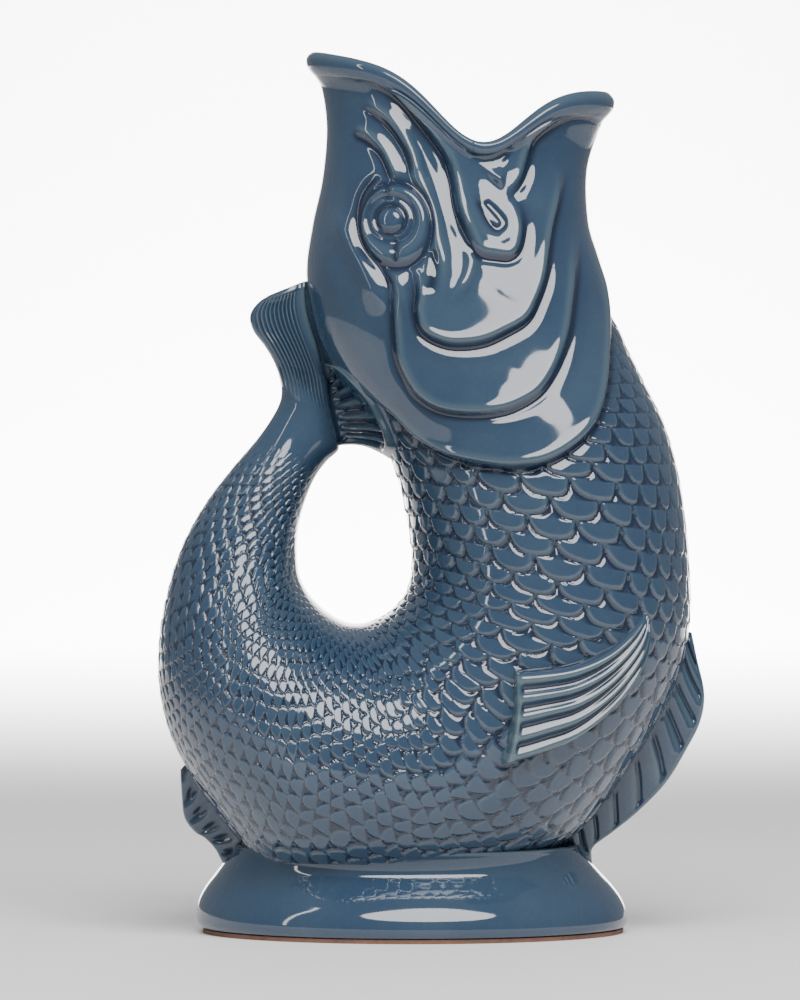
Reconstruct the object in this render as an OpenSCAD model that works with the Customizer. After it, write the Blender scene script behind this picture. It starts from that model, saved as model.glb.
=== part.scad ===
// Gurgle jug: a glazed earthenware fish that stands on its belly, with its
// mouth open at the top and its hollow tail curled up as the handle.
// +Z is up, X runs from the tail to the lower lip, and the fish's right side
// faces -Y. The origin is the centre of the foot, on the table.

/* [Jug] */
// Height from the table to the top of the upper lip
jug_height = 250; // [200:5:320]
// Length from the curve of the tail to the edge of the belly fin
jug_length = 156; // [130:2:200]
// Width across the belly
belly_width = 100; // [80:2:130]
// Thickness of the fired wall
wall = 4.5; // [3:0.25:5.5]

/* [Pedestal] */
// Length of the pedestal along X
pedestal_length = 122; // [112:1:150]
// Width of the pedestal along Y
pedestal_width = 96; // [90:1:124]
// Height of the pedestal's top above the table
pedestal_height = 22; // [18:0.5:26]
// How far the pedestal's top is set back towards the tail
pedestal_setback = 1.8; // [0:0.1:3]
// Thickness of the pedestal's floor
floor_thickness = 4; // [2:0.25:6]

/* [Foot ring] */
// Height of the unglazed ring under the pedestal
foot_height = 1.2; // [0.8:0.1:2]
// Width of the unglazed ring
foot_width = 6; // [4:0.5:10]
// How far the ring is set in from the pedestal's widest line
foot_inset = 1.2; // [0.5:0.1:3]
// Depth of the hollow under the floor, above the ring
foot_recess = 1.6; // [1:0.1:3]

/* [Mouth] */
// How far the lips swell out of the head
lip_bulge = 1.1; // [0.5:0.1:2]
// How far the lips rise above the rim at the two tips
lip_rise = 3.1; // [1:0.1:5]
// Thickness of the lobe at each corner of the mouth
jaw_lobe_rise = 2.4; // [1:0.1:4]

/* [Head] */
// Height of the ring round each eye
eye_ring_rise = 1.9; // [1:0.1:3]
// Height of each eyeball
eyeball_rise = 3.4; // [2:0.1:5]
// Thickness of each gill cover at its free edge
gill_rise = 1.9; // [1:0.1:3]
// Thickness of each cheek plate at its free edge
cheek_rise = 2.6; // [1:0.1:4]

/* [Scales] */
// Scales round the body
scale_count = 28; // [20:1:36]
// How far the free edge of each scale stands up
scale_relief = 0.9; // [0.2:0.1:1.2]
// Rows of scales down the chest
chest_scale_rows = 12; // [8:1:14]
// Rows of scales along the belly, each standing for two rows of real ones
belly_scale_rows = 15; // [8:1:18]

/* [Fins] */
// Thickness of each side fin at its free edge
side_fin_rise = 4.6; // [2:0.1:6]
// Ribs on each side fin
side_fin_ribs = 6; // [4:1:8]
// Depth of the grooves between ribs
rib_groove = 1.1; // [0.4:0.1:1.4]
// Thickness of the belly and anal fins at the root
blade_root = 8; // [5:0.25:10]
// Thickness of the belly and anal fins at the free edge
blade_edge = 4; // [3:0.25:5]
// Ribs along the belly fin
belly_fin_ribs = 9; // [6:1:12]
// Ribs along the anal fin
anal_fin_ribs = 4; // [3:1:6]
// Ribs on each face of the tail's upper lobe
tail_ribs = 5; // [4:1:7]

/* [Hidden] */

glaze = [0.30, 0.42, 0.53];
glaze_light = [0.38, 0.50, 0.60];
glaze_dark = [0.22, 0.33, 0.43];
clay = [0.78, 0.66, 0.55];

// Clearance between a moulded feature and the skin that it lies on
seat_gap = 0.25;
// How far a cut runs past what it cuts
overrun = 5;

// Points round the body, the pedestal and the small pads
round_count = 40;
pedestal_count = 60;
pad_count = 24;
lobe_count = 80;
foot_count = 90;

// The fish is a row of oval sections that fan round its bend, from the rim of
// the mouth, round the belly and up to the tip of the tail.
// Each row: back X and Z, belly X and Z, half width, and dip of the rim, as
// shares of the jug's length, height, length, height, half width and height.
section_shares = [
    [-0.189, 0.988, 0.361, 0.942, 0.57, 0.073],
    [-0.180, 0.972, 0.352, 0.926, 0.56, 0.068],
    [-0.166, 0.955, 0.335, 0.905, 0.54, 0.057],
    [-0.158, 0.911, 0.317, 0.864, 0.56, 0.036],
    [-0.166, 0.855, 0.319, 0.811, 0.63, 0.011],
    [-0.184, 0.803, 0.335, 0.767, 0.69, 0.002],
    [-0.195, 0.747, 0.357, 0.718, 0.76, 0],
    [-0.180, 0.686, 0.386, 0.670, 0.80, 0],
    [-0.142, 0.630, 0.423, 0.623, 0.84, 0],
    [-0.082, 0.581, 0.461, 0.573, 0.88, 0],
    [-0.040, 0.534, 0.488, 0.508, 0.91, 0],
    [-0.015, 0.477, 0.503, 0.428, 0.94, 0],
    [-0.004, 0.423, 0.505, 0.349, 0.96, 0],
    [-0.013, 0.389, 0.481, 0.283, 0.98, 0],
    [-0.040, 0.367, 0.412, 0.203, 1.00, 0],
    [-0.069, 0.356, 0.304, 0.114, 1.01, 0],
    [-0.097, 0.351, 0.140, 0.048, 1.01, 0],
    [-0.124, 0.353, -0.042, 0.031, 1.01, 0],
    [-0.149, 0.361, -0.224, 0.050, 1.00, 0],
    [-0.171, 0.372, -0.348, 0.127, 0.95, 0],
    [-0.191, 0.386, -0.430, 0.207, 0.85, 0],
    [-0.206, 0.405, -0.461, 0.270, 0.73, 0],
    [-0.211, 0.431, -0.464, 0.332, 0.60, 0],
    [-0.209, 0.456, -0.446, 0.393, 0.49, 0],
    [-0.202, 0.478, -0.417, 0.445, 0.40, 0],
    [-0.191, 0.499, -0.377, 0.489, 0.33, 0],
    [-0.177, 0.518, -0.330, 0.527, 0.27, 0],
    [-0.157, 0.535, -0.282, 0.562, 0.22, 0],
    [-0.135, 0.549, -0.250, 0.592, 0.19, 0],
    [-0.137, 0.569, -0.240, 0.611, 0.18, 0],
    [-0.147, 0.599, -0.244, 0.630, 0.18, 0],
    [-0.154, 0.630, -0.255, 0.649, 0.16, 0],
    [-0.168, 0.659, -0.271, 0.666, 0.15, 0],
    [-0.184, 0.690, -0.291, 0.683, 0.13, 0],
    [-0.192, 0.712, -0.297, 0.700, 0.11, 0],
    [-0.195, 0.728, -0.284, 0.714, 0.09, 0],
    [-0.197, 0.740, -0.262, 0.724, 0.06, 0],
];

// Where the dip of the rim is deepest, and how wide it is, as shares of the
// half chord of a section
dip_centre_share = 0.13;
dip_width_share = 0.41;

// Places on the skin are shares: of the way from the rim of the mouth to the
// tip of the tail, and of a full turn from the belly line by way of the right
// side. One piece ends and the next begins at these shares of the way.
lip_end_share = 0.028;
head_end_share = 0.278;
body_end_share = 0.597;
chamber_end_share = 0.811;
chest_end_share = 0.389;
palm_end_share = 0.861;
tail_end_share = 1;
// The turn at the back line
back_line_share = 0.5;
// Middles of the scales on one side of the chest, as shares of a turn from the
// belly line to the back line: they are widest in the middle of the flank
chest_scale_turn_shares = [
    0, 0.040, 0.080, 0.120, 0.167, 0.245, 0.318, 0.367, 0.414, 0.457, 0.500,
];
// How far a scale's free edge runs out, as a share of a row
scale_edge_share = 0.07;
// Height lost by the middle of a scale and by its root, as shares of its relief
scale_middle_share = 0.5;
scale_root_share = 1;
// The turn at the corner of the mouth, and half the cut between the lips
mouth_corner_share = 0.2375;
lip_cut_share = 0.0015;

// The pedestal's outside, from the foot up: half length as a share of the
// full half length, and height as a share of the pedestal's height
pedestal_outer_shares = [
    [0.985, 0.055], [1.00, 0.14], [1.00, 0.27], [0.982, 0.43], [0.967, 0.54],
    [0.945, 0.62], [0.905, 0.73], [0.888, 0.80], [0.880, 0.87], [0.845, 0.95],
    [0.825, 1],
];
// The pedestal's inside, from the opening down to the floor's edge
pedestal_inner_shares = [[0.60, 1], [0.66, 0.88], [0.76, 0.68], [0.80, 0.50], [0.76, 0.34]];

// Middle of the eye, and half the height and width of its ring
eye_place_shares = [0.127, 0.321];
eye_reach_shares = [0.026, 0.046];
// Height of the eye from its centre to its edge, as shares of the eyeball
eyeball_shares = [1, 0.94, 0.75, 0.30];
// Height of the ring, from the eyeball to its edge, as shares of the ring
eye_ring_shares = [0.75, 1, 0.80, 0.20];

// The lobe at the corner of the mouth: its middle, and its edge
jaw_lobe_place_shares = [0.117, 0.206];
jaw_lobe_edge_shares = [
    [0.037, 0.239], [0.061, 0.217], [0.094, 0.190], [0.111, 0.174], [0.131, 0.171],
    [0.142, 0.181], [0.146, 0.197], [0.140, 0.219], [0.122, 0.235], [0.094, 0.242],
    [0.067, 0.246], [0.044, 0.250],
];

// Inner and outer edges of the cheek plate and of the gill cover
cheek_inner_shares = [
    [0.164, 0.303], [0.181, 0.301], [0.194, 0.289], [0.200, 0.264], [0.196, 0.228],
    [0.185, 0.189], [0.167, 0.158], [0.139, 0.136],
];
cheek_outer_shares = [
    [0.175, 0.321], [0.200, 0.332], [0.222, 0.333], [0.236, 0.311], [0.239, 0.267],
    [0.231, 0.219], [0.206, 0.158], [0.167, 0.106],
];
gill_inner_shares = [
    [0.206, 0.342], [0.231, 0.339], [0.242, 0.314], [0.244, 0.267], [0.235, 0.214],
    [0.211, 0.158], [0.181, 0.111], [0.144, 0.075],
];
gill_outer_shares = [
    [0.233, 0.394], [0.258, 0.385], [0.272, 0.339], [0.275, 0.272], [0.261, 0.193],
    [0.228, 0.119], [0.183, 0.053], [0.139, 0.019],
];

// Upper and lower edges of the side fin, from its root to its free edge
side_fin_top_shares = [
    [0.333, 0.131], [0.347, 0.153], [0.360, 0.175], [0.369, 0.203], [0.378, 0.231],
    [0.385, 0.256],
];
side_fin_bottom_shares = [
    [0.342, 0.110], [0.361, 0.115], [0.381, 0.124], [0.397, 0.146], [0.410, 0.176],
    [0.420, 0.194],
];

// Free edges of the two fins that stand on the belly line: X and Z as shares
// of the jug's length and height, and the place where each point is rooted
belly_fin_shares = [
    [0.508, 0.340, 0.336], [0.518, 0.310, 0.347], [0.532, 0.272, 0.361],
    [0.524, 0.240, 0.372], [0.500, 0.209, 0.383], [0.462, 0.170, 0.394],
    [0.413, 0.138, 0.406], [0.366, 0.114, 0.414], [0.330, 0.097, 0.419],
];
anal_fin_shares = [
    [-0.424, 0.184, 0.549], [-0.422, 0.155, 0.539], [-0.415, 0.129, 0.532],
    [-0.395, 0.113, 0.526], [-0.366, 0.100, 0.521],
];

// Where the lower lobe of the tail meets the palm and the head's back: its
// middle, and how far it reaches along and round the skin
lobe_at_palm_shares = [0.825, 0.040, 0.172];
lobe_at_back_shares = [0.249, 0.026, 0.067];

// A point between b and c on a smooth curve through a, b, c and d
function between(a, b, c, d, t) =
    (2 * b + (c - a) * t + (2 * a - 5 * b + 4 * c - d) * t * t + (3 * b - a - 3 * c + d) * t * t * t) / 2;

// The row of a table at share p of its length, which may lie between two rows
function along(table, p) =
    let (last = len(table) - 1, u = p * last, i = max(0, min(floor(u), last - 1)))
    between(table[max(i - 1, 0)], table[i], table[i + 1], table[min(i + 2, last)], u - i);

// A point of the skin at share p of the way and share t of a turn, moved out by off
function skin(p, t, off = 0) =
    let (s = along(section_shares, p),
         v = 360 * t,
         back = [s[0] * jug_length, s[1] * jug_height],
         belly = [s[2] * jug_length, s[3] * jug_height],
         chord = belly - back,
         at = (back + belly) / 2 + chord / norm(chord) * (norm(chord) / 2 + off) * cos(v),
         dip = s[5] * jug_height * exp(-pow((cos(v) - dip_centre_share) / dip_width_share, 2)))
    [at.x, -(s[4] * belly_width / 2 + off) * sin(v), at.y - dip];

// A whole oval section
function ring(p, off = 0) = [for (k = [0 : round_count - 1]) skin(p, k / round_count, off)];

// The share of a turn for share w of the scales round a section at share p of the way
function scale_turn(p, w) =
    let (even = min(1, max(0, (p - chest_end_share) / (body_end_share - chest_end_share) * 4)),
         flank = w <= 0.5 ? along(chest_scale_turn_shares, 2 * w) : 1 - along(chest_scale_turn_shares, 2 - 2 * w))
    flank * (1 - even) + w * even;

// The two loops of points at the free edges of row j of the scales. Scales of
// one row end halfway between those of the next.
function scale_edge(j, p, row_length) = [
    for (after = [0, 1])
    let (at = p + (after == 1 ? 1 : -1) * scale_edge_share * row_length)
    [
        for (k = [0 : 2 * scale_count - 1])
        let (drop = (j + k) % 2 == 0 ? scale_middle_share : after * scale_root_share)
        skin(at, scale_turn(p, k / (2 * scale_count)), -scale_relief * drop)
    ]
];

// A plain loop of points to start, end or line a scaled stretch
function scale_ring(p, off = 0) =
    [for (k = [0 : 2 * scale_count - 1]) skin(p, scale_turn(p, k / (2 * scale_count)), off)];

// Steps from a to b
function steps(a, b, count) = [for (k = [0 : count]) a + (b - a) * k / count];

function sum_of(list, i = 0) = i == len(list) - 1 ? list[i] : list[i] + sum_of(list, i + 1);

// The middle of a loop of points
function mean(points) = sum_of(points) / len(points);

// A solid through a row of closed loops. It closes on itself where it has no
// ends, and otherwise has a point at each end.
module loft(rings, ends = []) {
    n = len(rings[0]);
    m = len(rings);
    spans = len(ends) == 0 ? m : m - 1;
    sides = [
        for (r = [0 : spans - 1], k = [0 : n - 1])
        let (a = r * n + k, b = r * n + (k + 1) % n, d = ((r + 1) % m) * n + k, c = ((r + 1) % m) * n + (k + 1) % n)
        each [[a, d, c], [a, c, b]]
    ];
    caps = len(ends) == 0 ? [] : [
        for (k = [0 : n - 1])
        each [[m * n, k, (k + 1) % n], [m * n + 1, (m - 1) * n + (k + 1) % n, (m - 1) * n + k]]
    ];
    polyhedron(concat([for (r = rings) each r], ends), concat(sides, caps), convexity = 10);
}

// A loft whose flat ends are closed from their middles
module capped_loft(rings) {
    loft(rings, [mean(rings[0]), mean(rings[len(rings) - 1])]);
}

// A raised pad on the skin, with its rise given from the middle to the edge
module skin_pad(middle, edge, rises) {
    last = len(rises) - 1;
    tops = [
        for (i = [1 : last])
        [for (e = edge) let (at = middle + (e - middle) * i / last) skin(at[0], at[1], seat_gap + rises[i])]
    ];
    under = [
        for (i = [3 : -1 : 1])
        [for (e = edge) let (at = middle + (e - middle) * i / 3) skin(at[0], at[1], seat_gap)]
    ];
    loft(
        concat(tops, under),
        [skin(middle[0], middle[1], seat_gap + rises[0]), skin(middle[0], middle[1], seat_gap)]
    );
}

// A raised band on the skin between two curves, with rise(p, q) along and across it
module skin_band(from, to, rise, along_count, across_count) {
    capped_loft([
        for (p = steps(0, 1, along_count))
        let (a = along(from, p), b = along(to, p))
        concat(
            [for (q = steps(0, 1, across_count)) let (at = a + (b - a) * q) skin(at[0], at[1], seat_gap + rise(p, q))],
            [for (q = steps(1, 0, 4)) let (at = a + (b - a) * q) skin(at[0], at[1], seat_gap)]
        )
    ]);
}

// A thin upright fin that stands on the belly line, with ribs across it
module blade(edge_shares, ribs, side) {
    capped_loft([
        for (p = steps(0, 1, ribs * 4))
        let (e = along(edge_shares, p),
             edge = [e[0] * jug_length, 0, e[1] * jug_height],
             root = skin(e[2], 0, seat_gap),
             swell = 1 - rib_groove / blade_edge * (1 - cos(360 * ribs * p)) / 2,
             thick_root = side * blade_root / 2,
             thick_edge = side * blade_edge / 2 * swell,
             middle = (root + edge) / 2,
             thick_middle = (thick_root + thick_edge) / 2 * swell)
        [
            root + [0, thick_root, 0],
            middle + [0, thick_middle, 0],
            edge + [0, thick_edge, 0],
            edge - [0, thick_edge, 0],
            middle - [0, thick_middle, 0],
            root - [0, thick_root, 0],
        ]
    ]);
}

// One lip, swept round the rim between two shares of a turn
module lip(start_share, end_share, count) {
    capped_loft([
        for (t = steps(start_share, end_share, count))
        let (rise = lip_rise * (0.4 + 0.6 * pow(cos(360 * t), 2)))
        [
            skin(lip_end_share, t) + [0, 0, seat_gap],
            skin(lip_end_share * 0.7, t, lip_bulge * 0.8),
            skin(lip_end_share * 0.3, t, lip_bulge),
            skin(0, t, lip_bulge * 0.7) + [0, 0, rise * 0.4],
            skin(0, t, -wall * 0.2) + [0, 0, rise],
            skin(0, t, -wall * 0.6) + [0, 0, rise * 0.8],
            skin(0, t, -wall),
            skin(lip_end_share, t, -wall) + [0, 0, seat_gap],
        ]
    ]);
}

// An oval of the pedestal, as a share of its full size, at height z
function pedestal_oval(share, z) = [
    for (k = [0 : pedestal_count - 1])
    let (a = -360 * k / pedestal_count)
    [
        share * pedestal_length / 2 * cos(a) - pedestal_setback * z / pedestal_height,
        share * pedestal_width / 2 * sin(a),
        z
    ]
];

module foot_oval(inset) {
    polygon([
        for (k = [0 : foot_count - 1])
        let (a = 360 * k / foot_count)
        [(pedestal_length / 2 - inset) * cos(a), (pedestal_width / 2 - inset) * sin(a)]
    ]);
}

module foot_ring() {
    color(clay)
    linear_extrude(foot_height)
    difference() {
        foot_oval(foot_inset);
        foot_oval(foot_inset + foot_width);
    }
}

module pedestal() {
    floor_top = foot_height + foot_recess + floor_thickness;
    recess_share = 1 - (foot_inset + foot_width) / (pedestal_width / 2);
    outer = [for (s = pedestal_outer_shares) pedestal_oval(s[0], max(s[1] * pedestal_height, foot_height))];
    inner = [for (s = pedestal_inner_shares) pedestal_oval(s[0], max(s[1] * pedestal_height, floor_top))];
    under = [
        pedestal_oval(recess_share * 0.94, foot_height + foot_recess),
        pedestal_oval(recess_share, foot_height),
    ];
    color(glaze)
    loft(
        [for (r = concat(under, outer, inner)) [for (k = [pedestal_count - 1 : -1 : 0]) r[k]]],
        [[0, 0, foot_height + foot_recess], [-pedestal_setback * floor_top / pedestal_height, 0, floor_top]]
    );
}

module body() {
    chest_row = (chest_end_share - head_end_share) / chest_scale_rows;
    belly_row = (body_end_share - chest_end_share) / belly_scale_rows;
    color(glaze)
    difference() {
        loft(concat(
            [scale_ring(head_end_share)],
            [for (j = [1 : chest_scale_rows]) each scale_edge(j, head_end_share + j * chest_row, chest_row)],
            [
                for (j = [1 : belly_scale_rows - 1])
                each scale_edge(chest_scale_rows + j, chest_end_share + j * belly_row, belly_row)
            ],
            [scale_ring(body_end_share)],
            [for (p = steps(body_end_share, head_end_share, 12)) scale_ring(p, -wall)]
        ));
        translate([-jug_length, -belly_width, -overrun])
        cube([jug_length * 2, belly_width * 2, pedestal_height + overrun]);
    }
}

module head() {
    color(glaze_light)
    loft(concat(
        [for (p = steps(lip_end_share, head_end_share, 18)) ring(p)],
        [for (p = steps(head_end_share, lip_end_share, 10)) ring(p, -wall)]
    ));
}

module upper_lip() {
    color(glaze_light)
    lip(mouth_corner_share + lip_cut_share, 1 - mouth_corner_share - lip_cut_share, 36);
}

module lower_lip() {
    color(glaze_light)
    lip(lip_cut_share - mouth_corner_share, mouth_corner_share - lip_cut_share, 32);
}

module right_jaw_lobe() {
    color(glaze_light)
    skin_pad(jaw_lobe_place_shares, jaw_lobe_edge_shares, [1, 0.96, 0.84, 0.25] * jaw_lobe_rise);
}

module left_jaw_lobe() {
    mirror([0, 1, 0])
    right_jaw_lobe();
}

module right_eye() {
    ball = eyeball_shares * eyeball_rise;
    socket = eye_ring_shares * eye_ring_rise;
    edge = [
        for (k = [0 : pad_count - 1])
        let (a = 360 * k / pad_count)
        eye_place_shares + [-eye_reach_shares[0] * sin(a), eye_reach_shares[1] * cos(a)]
    ];
    color(glaze_dark)
    skin_pad(eye_place_shares, edge, concat(ball, socket));
}

module left_eye() {
    mirror([0, 1, 0])
    right_eye();
}

module right_cheek_plate() {
    color(glaze_light)
    skin_band(
        cheek_inner_shares, cheek_outer_shares,
        function (p, q) cheek_rise * (0.3 + 0.7 * sin(90 * q)) * (0.35 + 0.65 * sin(180 * p)), 22, 6
    );
}

module left_cheek_plate() {
    mirror([0, 1, 0])
    right_cheek_plate();
}

module right_gill_cover() {
    color(glaze)
    skin_band(
        gill_inner_shares, gill_outer_shares,
        function (p, q) gill_rise * (0.3 + 0.7 * sin(90 * q)) * (0.35 + 0.65 * sin(180 * p)), 26, 6
    );
}

module left_gill_cover() {
    mirror([0, 1, 0])
    right_gill_cover();
}

module right_side_fin() {
    color(glaze_light)
    skin_band(
        side_fin_bottom_shares, side_fin_top_shares,
        function (p, q) (side_fin_rise - rib_groove * (1 + cos(360 * side_fin_ribs * q)) / 2) * (0.35 + 0.65 * p),
        10, side_fin_ribs * 4
    );
}

module left_side_fin() {
    mirror([0, 1, 0])
    right_side_fin();
}

module belly_fin() {
    color(glaze)
    blade(belly_fin_shares, belly_fin_ribs, 1);
}

module anal_fin() {
    color(glaze)
    blade(anal_fin_shares, anal_fin_ribs, -1);
}

module tail_handle() {
    chamber = [for (p = steps(chamber_end_share, body_end_share, 12)) ring(p, -wall)];
    outside = [for (p = steps(body_end_share, palm_end_share, 20)) ring(p)];
    color(glaze)
    loft(concat(chamber, outside), [mean(chamber[0]), mean(outside[len(outside) - 1])]);
}

module tail_upper_lobe() {
    lobe = [
        for (q = steps(0, 1, 9))
        let (groove = rib_groove * min(1, q * 2))
        [
            for (k = [0 : lobe_count - 1])
            let (v = 360 * k / lobe_count, wave = (1 + cos(360 * tail_ribs * (1 + cos(v)) / 2)) / 2)
            skin(
                palm_end_share + (tail_end_share - palm_end_share) * q,
                k / lobe_count, -groove * wave * abs(sin(v))
            )
        ]
    ];
    color(glaze_light)
    capped_loft(lobe);
}

// One oval of the tail's lower lobe, spread over the skin by a share of its reach
function lobe_oval(place, spread, turn) = [
    for (k = [0 : pad_count - 1])
    let (a = 360 * k / pad_count)
    skin(place[0] - turn * place[1] * spread * cos(a), back_line_share + place[2] * spread * sin(a), seat_gap)
];

module tail_lower_lobe() {
    palm = lobe_oval(lobe_at_palm_shares, 1, 1);
    back = lobe_oval(lobe_at_back_shares, 1, -1);
    color(glaze)
    loft(
        concat(
            [lobe_oval(lobe_at_palm_shares, 0.5, 1), palm],
            [for (t = [0.25, 0.5, 0.75]) palm + (back - palm) * t],
            [back, lobe_oval(lobe_at_back_shares, 0.5, -1)]
        ),
        [
            skin(lobe_at_palm_shares[0], back_line_share, seat_gap),
            skin(lobe_at_back_shares[0], back_line_share, seat_gap),
        ]
    );
}

foot_ring();
pedestal();
body();
head();
upper_lip();
lower_lip();
right_jaw_lobe();
left_jaw_lobe();
right_eye();
left_eye();
right_cheek_plate();
left_cheek_plate();
right_gill_cover();
left_gill_cover();
right_side_fin();
left_side_fin();
belly_fin();
anal_fin();
tail_handle();
tail_upper_lobe();
tail_lower_lobe();
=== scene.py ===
"""Gurgle jug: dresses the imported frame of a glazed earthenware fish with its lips, plates, scales, fins
and glaze. Everything is in metres, in the frame's own axes: +Z up, +X towards the lower lip, and the
fish's right side faces -Y."""

import functools
import math

import bpy
import numpy as np
from bpy.props import FloatProperty, FloatVectorProperty, IntProperty, PointerProperty
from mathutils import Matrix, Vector


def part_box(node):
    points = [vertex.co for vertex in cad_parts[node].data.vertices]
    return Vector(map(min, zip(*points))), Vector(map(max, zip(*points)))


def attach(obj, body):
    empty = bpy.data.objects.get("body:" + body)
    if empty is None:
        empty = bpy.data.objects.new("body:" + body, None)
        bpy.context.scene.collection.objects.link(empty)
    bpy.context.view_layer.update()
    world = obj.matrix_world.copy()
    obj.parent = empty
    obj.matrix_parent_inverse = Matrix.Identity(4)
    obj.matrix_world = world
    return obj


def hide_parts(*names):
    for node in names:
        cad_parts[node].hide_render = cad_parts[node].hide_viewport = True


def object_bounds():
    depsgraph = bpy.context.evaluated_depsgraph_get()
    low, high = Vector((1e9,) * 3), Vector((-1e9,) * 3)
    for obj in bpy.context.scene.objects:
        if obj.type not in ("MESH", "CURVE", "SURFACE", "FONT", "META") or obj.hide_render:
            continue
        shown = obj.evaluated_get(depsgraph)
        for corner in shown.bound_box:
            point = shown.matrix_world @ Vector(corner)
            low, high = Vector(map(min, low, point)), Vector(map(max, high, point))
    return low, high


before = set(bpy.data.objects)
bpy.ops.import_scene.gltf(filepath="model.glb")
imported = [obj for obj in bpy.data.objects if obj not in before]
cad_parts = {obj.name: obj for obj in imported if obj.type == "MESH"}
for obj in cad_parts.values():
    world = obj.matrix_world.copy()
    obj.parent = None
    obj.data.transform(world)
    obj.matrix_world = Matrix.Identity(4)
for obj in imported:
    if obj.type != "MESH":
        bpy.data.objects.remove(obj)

bl_info = {
    "name": "Gurgle jug",
    "version": (1, 0, 0),
    "blender": (4, 5, 0),
    "location": "3D View > Sidebar > Jug",
    "description": "Scales, plates, fins and glaze for a fish-shaped pouring jug",
    "category": "Object",
}

MM = 0.001

# The form of the fish

# The fish is a row of oval sections that fan round its bend, from the rim of the mouth, round the belly
# and up to the tip of the tail, as in the frame. Each row: back X and Z, belly X and Z, half width, and
# dip of the rim, as shares of the jug's length, height, length, height, half width and height.
SECTION_SHARES = [
    [-0.189, 0.988, 0.361, 0.942, 0.57, 0.073], [-0.180, 0.972, 0.352, 0.926, 0.56, 0.068],
    [-0.166, 0.955, 0.335, 0.905, 0.54, 0.057], [-0.158, 0.911, 0.317, 0.864, 0.56, 0.036],
    [-0.166, 0.855, 0.319, 0.811, 0.63, 0.011], [-0.184, 0.803, 0.335, 0.767, 0.69, 0.002],
    [-0.195, 0.747, 0.357, 0.718, 0.76, 0], [-0.180, 0.686, 0.386, 0.670, 0.80, 0],
    [-0.142, 0.630, 0.423, 0.623, 0.84, 0], [-0.082, 0.581, 0.461, 0.573, 0.88, 0],
    [-0.040, 0.534, 0.488, 0.508, 0.91, 0], [-0.015, 0.477, 0.503, 0.428, 0.94, 0],
    [-0.004, 0.423, 0.505, 0.349, 0.96, 0], [-0.013, 0.389, 0.481, 0.283, 0.98, 0],
    [-0.040, 0.367, 0.412, 0.203, 1.00, 0], [-0.069, 0.356, 0.304, 0.114, 1.01, 0],
    [-0.097, 0.351, 0.140, 0.048, 1.01, 0], [-0.124, 0.353, -0.042, 0.031, 1.01, 0],
    [-0.149, 0.361, -0.224, 0.050, 1.00, 0], [-0.171, 0.372, -0.348, 0.127, 0.95, 0],
    [-0.191, 0.386, -0.430, 0.207, 0.85, 0], [-0.206, 0.405, -0.461, 0.270, 0.73, 0],
    [-0.211, 0.431, -0.464, 0.332, 0.60, 0], [-0.209, 0.456, -0.446, 0.393, 0.49, 0],
    [-0.202, 0.478, -0.417, 0.445, 0.40, 0], [-0.191, 0.499, -0.377, 0.489, 0.33, 0],
    [-0.177, 0.518, -0.330, 0.527, 0.27, 0], [-0.157, 0.535, -0.282, 0.562, 0.22, 0],
    [-0.135, 0.549, -0.250, 0.592, 0.19, 0], [-0.137, 0.569, -0.240, 0.611, 0.18, 0],
    [-0.147, 0.599, -0.244, 0.630, 0.18, 0], [-0.154, 0.630, -0.255, 0.649, 0.16, 0],
    [-0.168, 0.659, -0.271, 0.666, 0.15, 0], [-0.184, 0.690, -0.291, 0.683, 0.13, 0],
    [-0.192, 0.712, -0.297, 0.700, 0.11, 0], [-0.195, 0.728, -0.284, 0.714, 0.09, 0],
    [-0.197, 0.740, -0.262, 0.724, 0.06, 0],
]
SECTIONS = len(SECTION_SHARES) - 1
DIP_CENTRE, DIP_WIDTH = 0.13, 0.41
# How far the belly fin reaches, as a share of the jug's length
BELLY_FIN_REACH = 0.532

# Lengths that the frame was built from, read back from its nodes
BODY_LOW, BODY_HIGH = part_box("body")
JUG_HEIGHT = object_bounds()[1].z
JUG_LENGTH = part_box("belly_fin")[1].x / BELLY_FIN_REACH
BELLY_WIDTH = (BODY_HIGH.y - BODY_LOW.y) / max(row[4] for row in SECTION_SHARES)
PEDESTAL_LOW, PEDESTAL_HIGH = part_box("pedestal")
SPAN = np.array([JUG_LENGTH, JUG_HEIGHT])

# The viewpoint, the point that it looks at, and the height of the picture where the jug stands, in metres
VIEW_DISTANCE, VIEW_HEIGHT, AIM_X, AIM_Z, PICTURE_HEIGHT = 1.95, 0.150, -0.0037, 0.1227, 0.2841

# Where one piece ends and the next begins, as shares of the way from the mouth to the tip of the tail
LIP_END, FACE_END, HEAD_END, CHEST_END, BELLY_MIDDLE, BODY_END, PALM_END = (
    0.028, 0.150, 0.278, 0.4306, 0.514, 0.597, 0.861)
# The hollow pieces of the skin: where each starts and ends, and its rows of points
SKIN_ROWS = {
    "face": (LIP_END, FACE_END, 108), "neck": (FACE_END, HEAD_END, 142),
    "chest": (HEAD_END, CHEST_END, 166), "belly_front": (CHEST_END, BELLY_MIDDLE, 140),
    "belly_rear": (BELLY_MIDDLE, BODY_END, 146), "tail": (BODY_END, PALM_END, 166),
}
# Points round the skin, and round its inside
SKIN_COLUMNS, INNER_COLUMNS = 560, 70
# Rows of points outside to each row inside, and the fewest rows inside
ROWS_TO_INNER_ROW, FEWEST_INNER_ROWS = 8, 6
# How far the gill covers may reach on past the head's end
GILLS_BEYOND = 0.035
# Ways nearer to each other than this are the same
CLOSE = 1e-9
# The plates, lobes and eyes that are cut out of the skin: their depth, how far they stand above the skin,
# and how far it is sunk beneath them
PATCH_DEPTH, PATCH_LIFT, BENEATH_PATCH = 1.5 * MM, 0.02 * MM, 1.0 * MM
# Points taken along a curve for each that it is given by, and fewer along a closed outline
CURVE_POINTS, OUTLINE_POINTS = 12, 6
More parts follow.
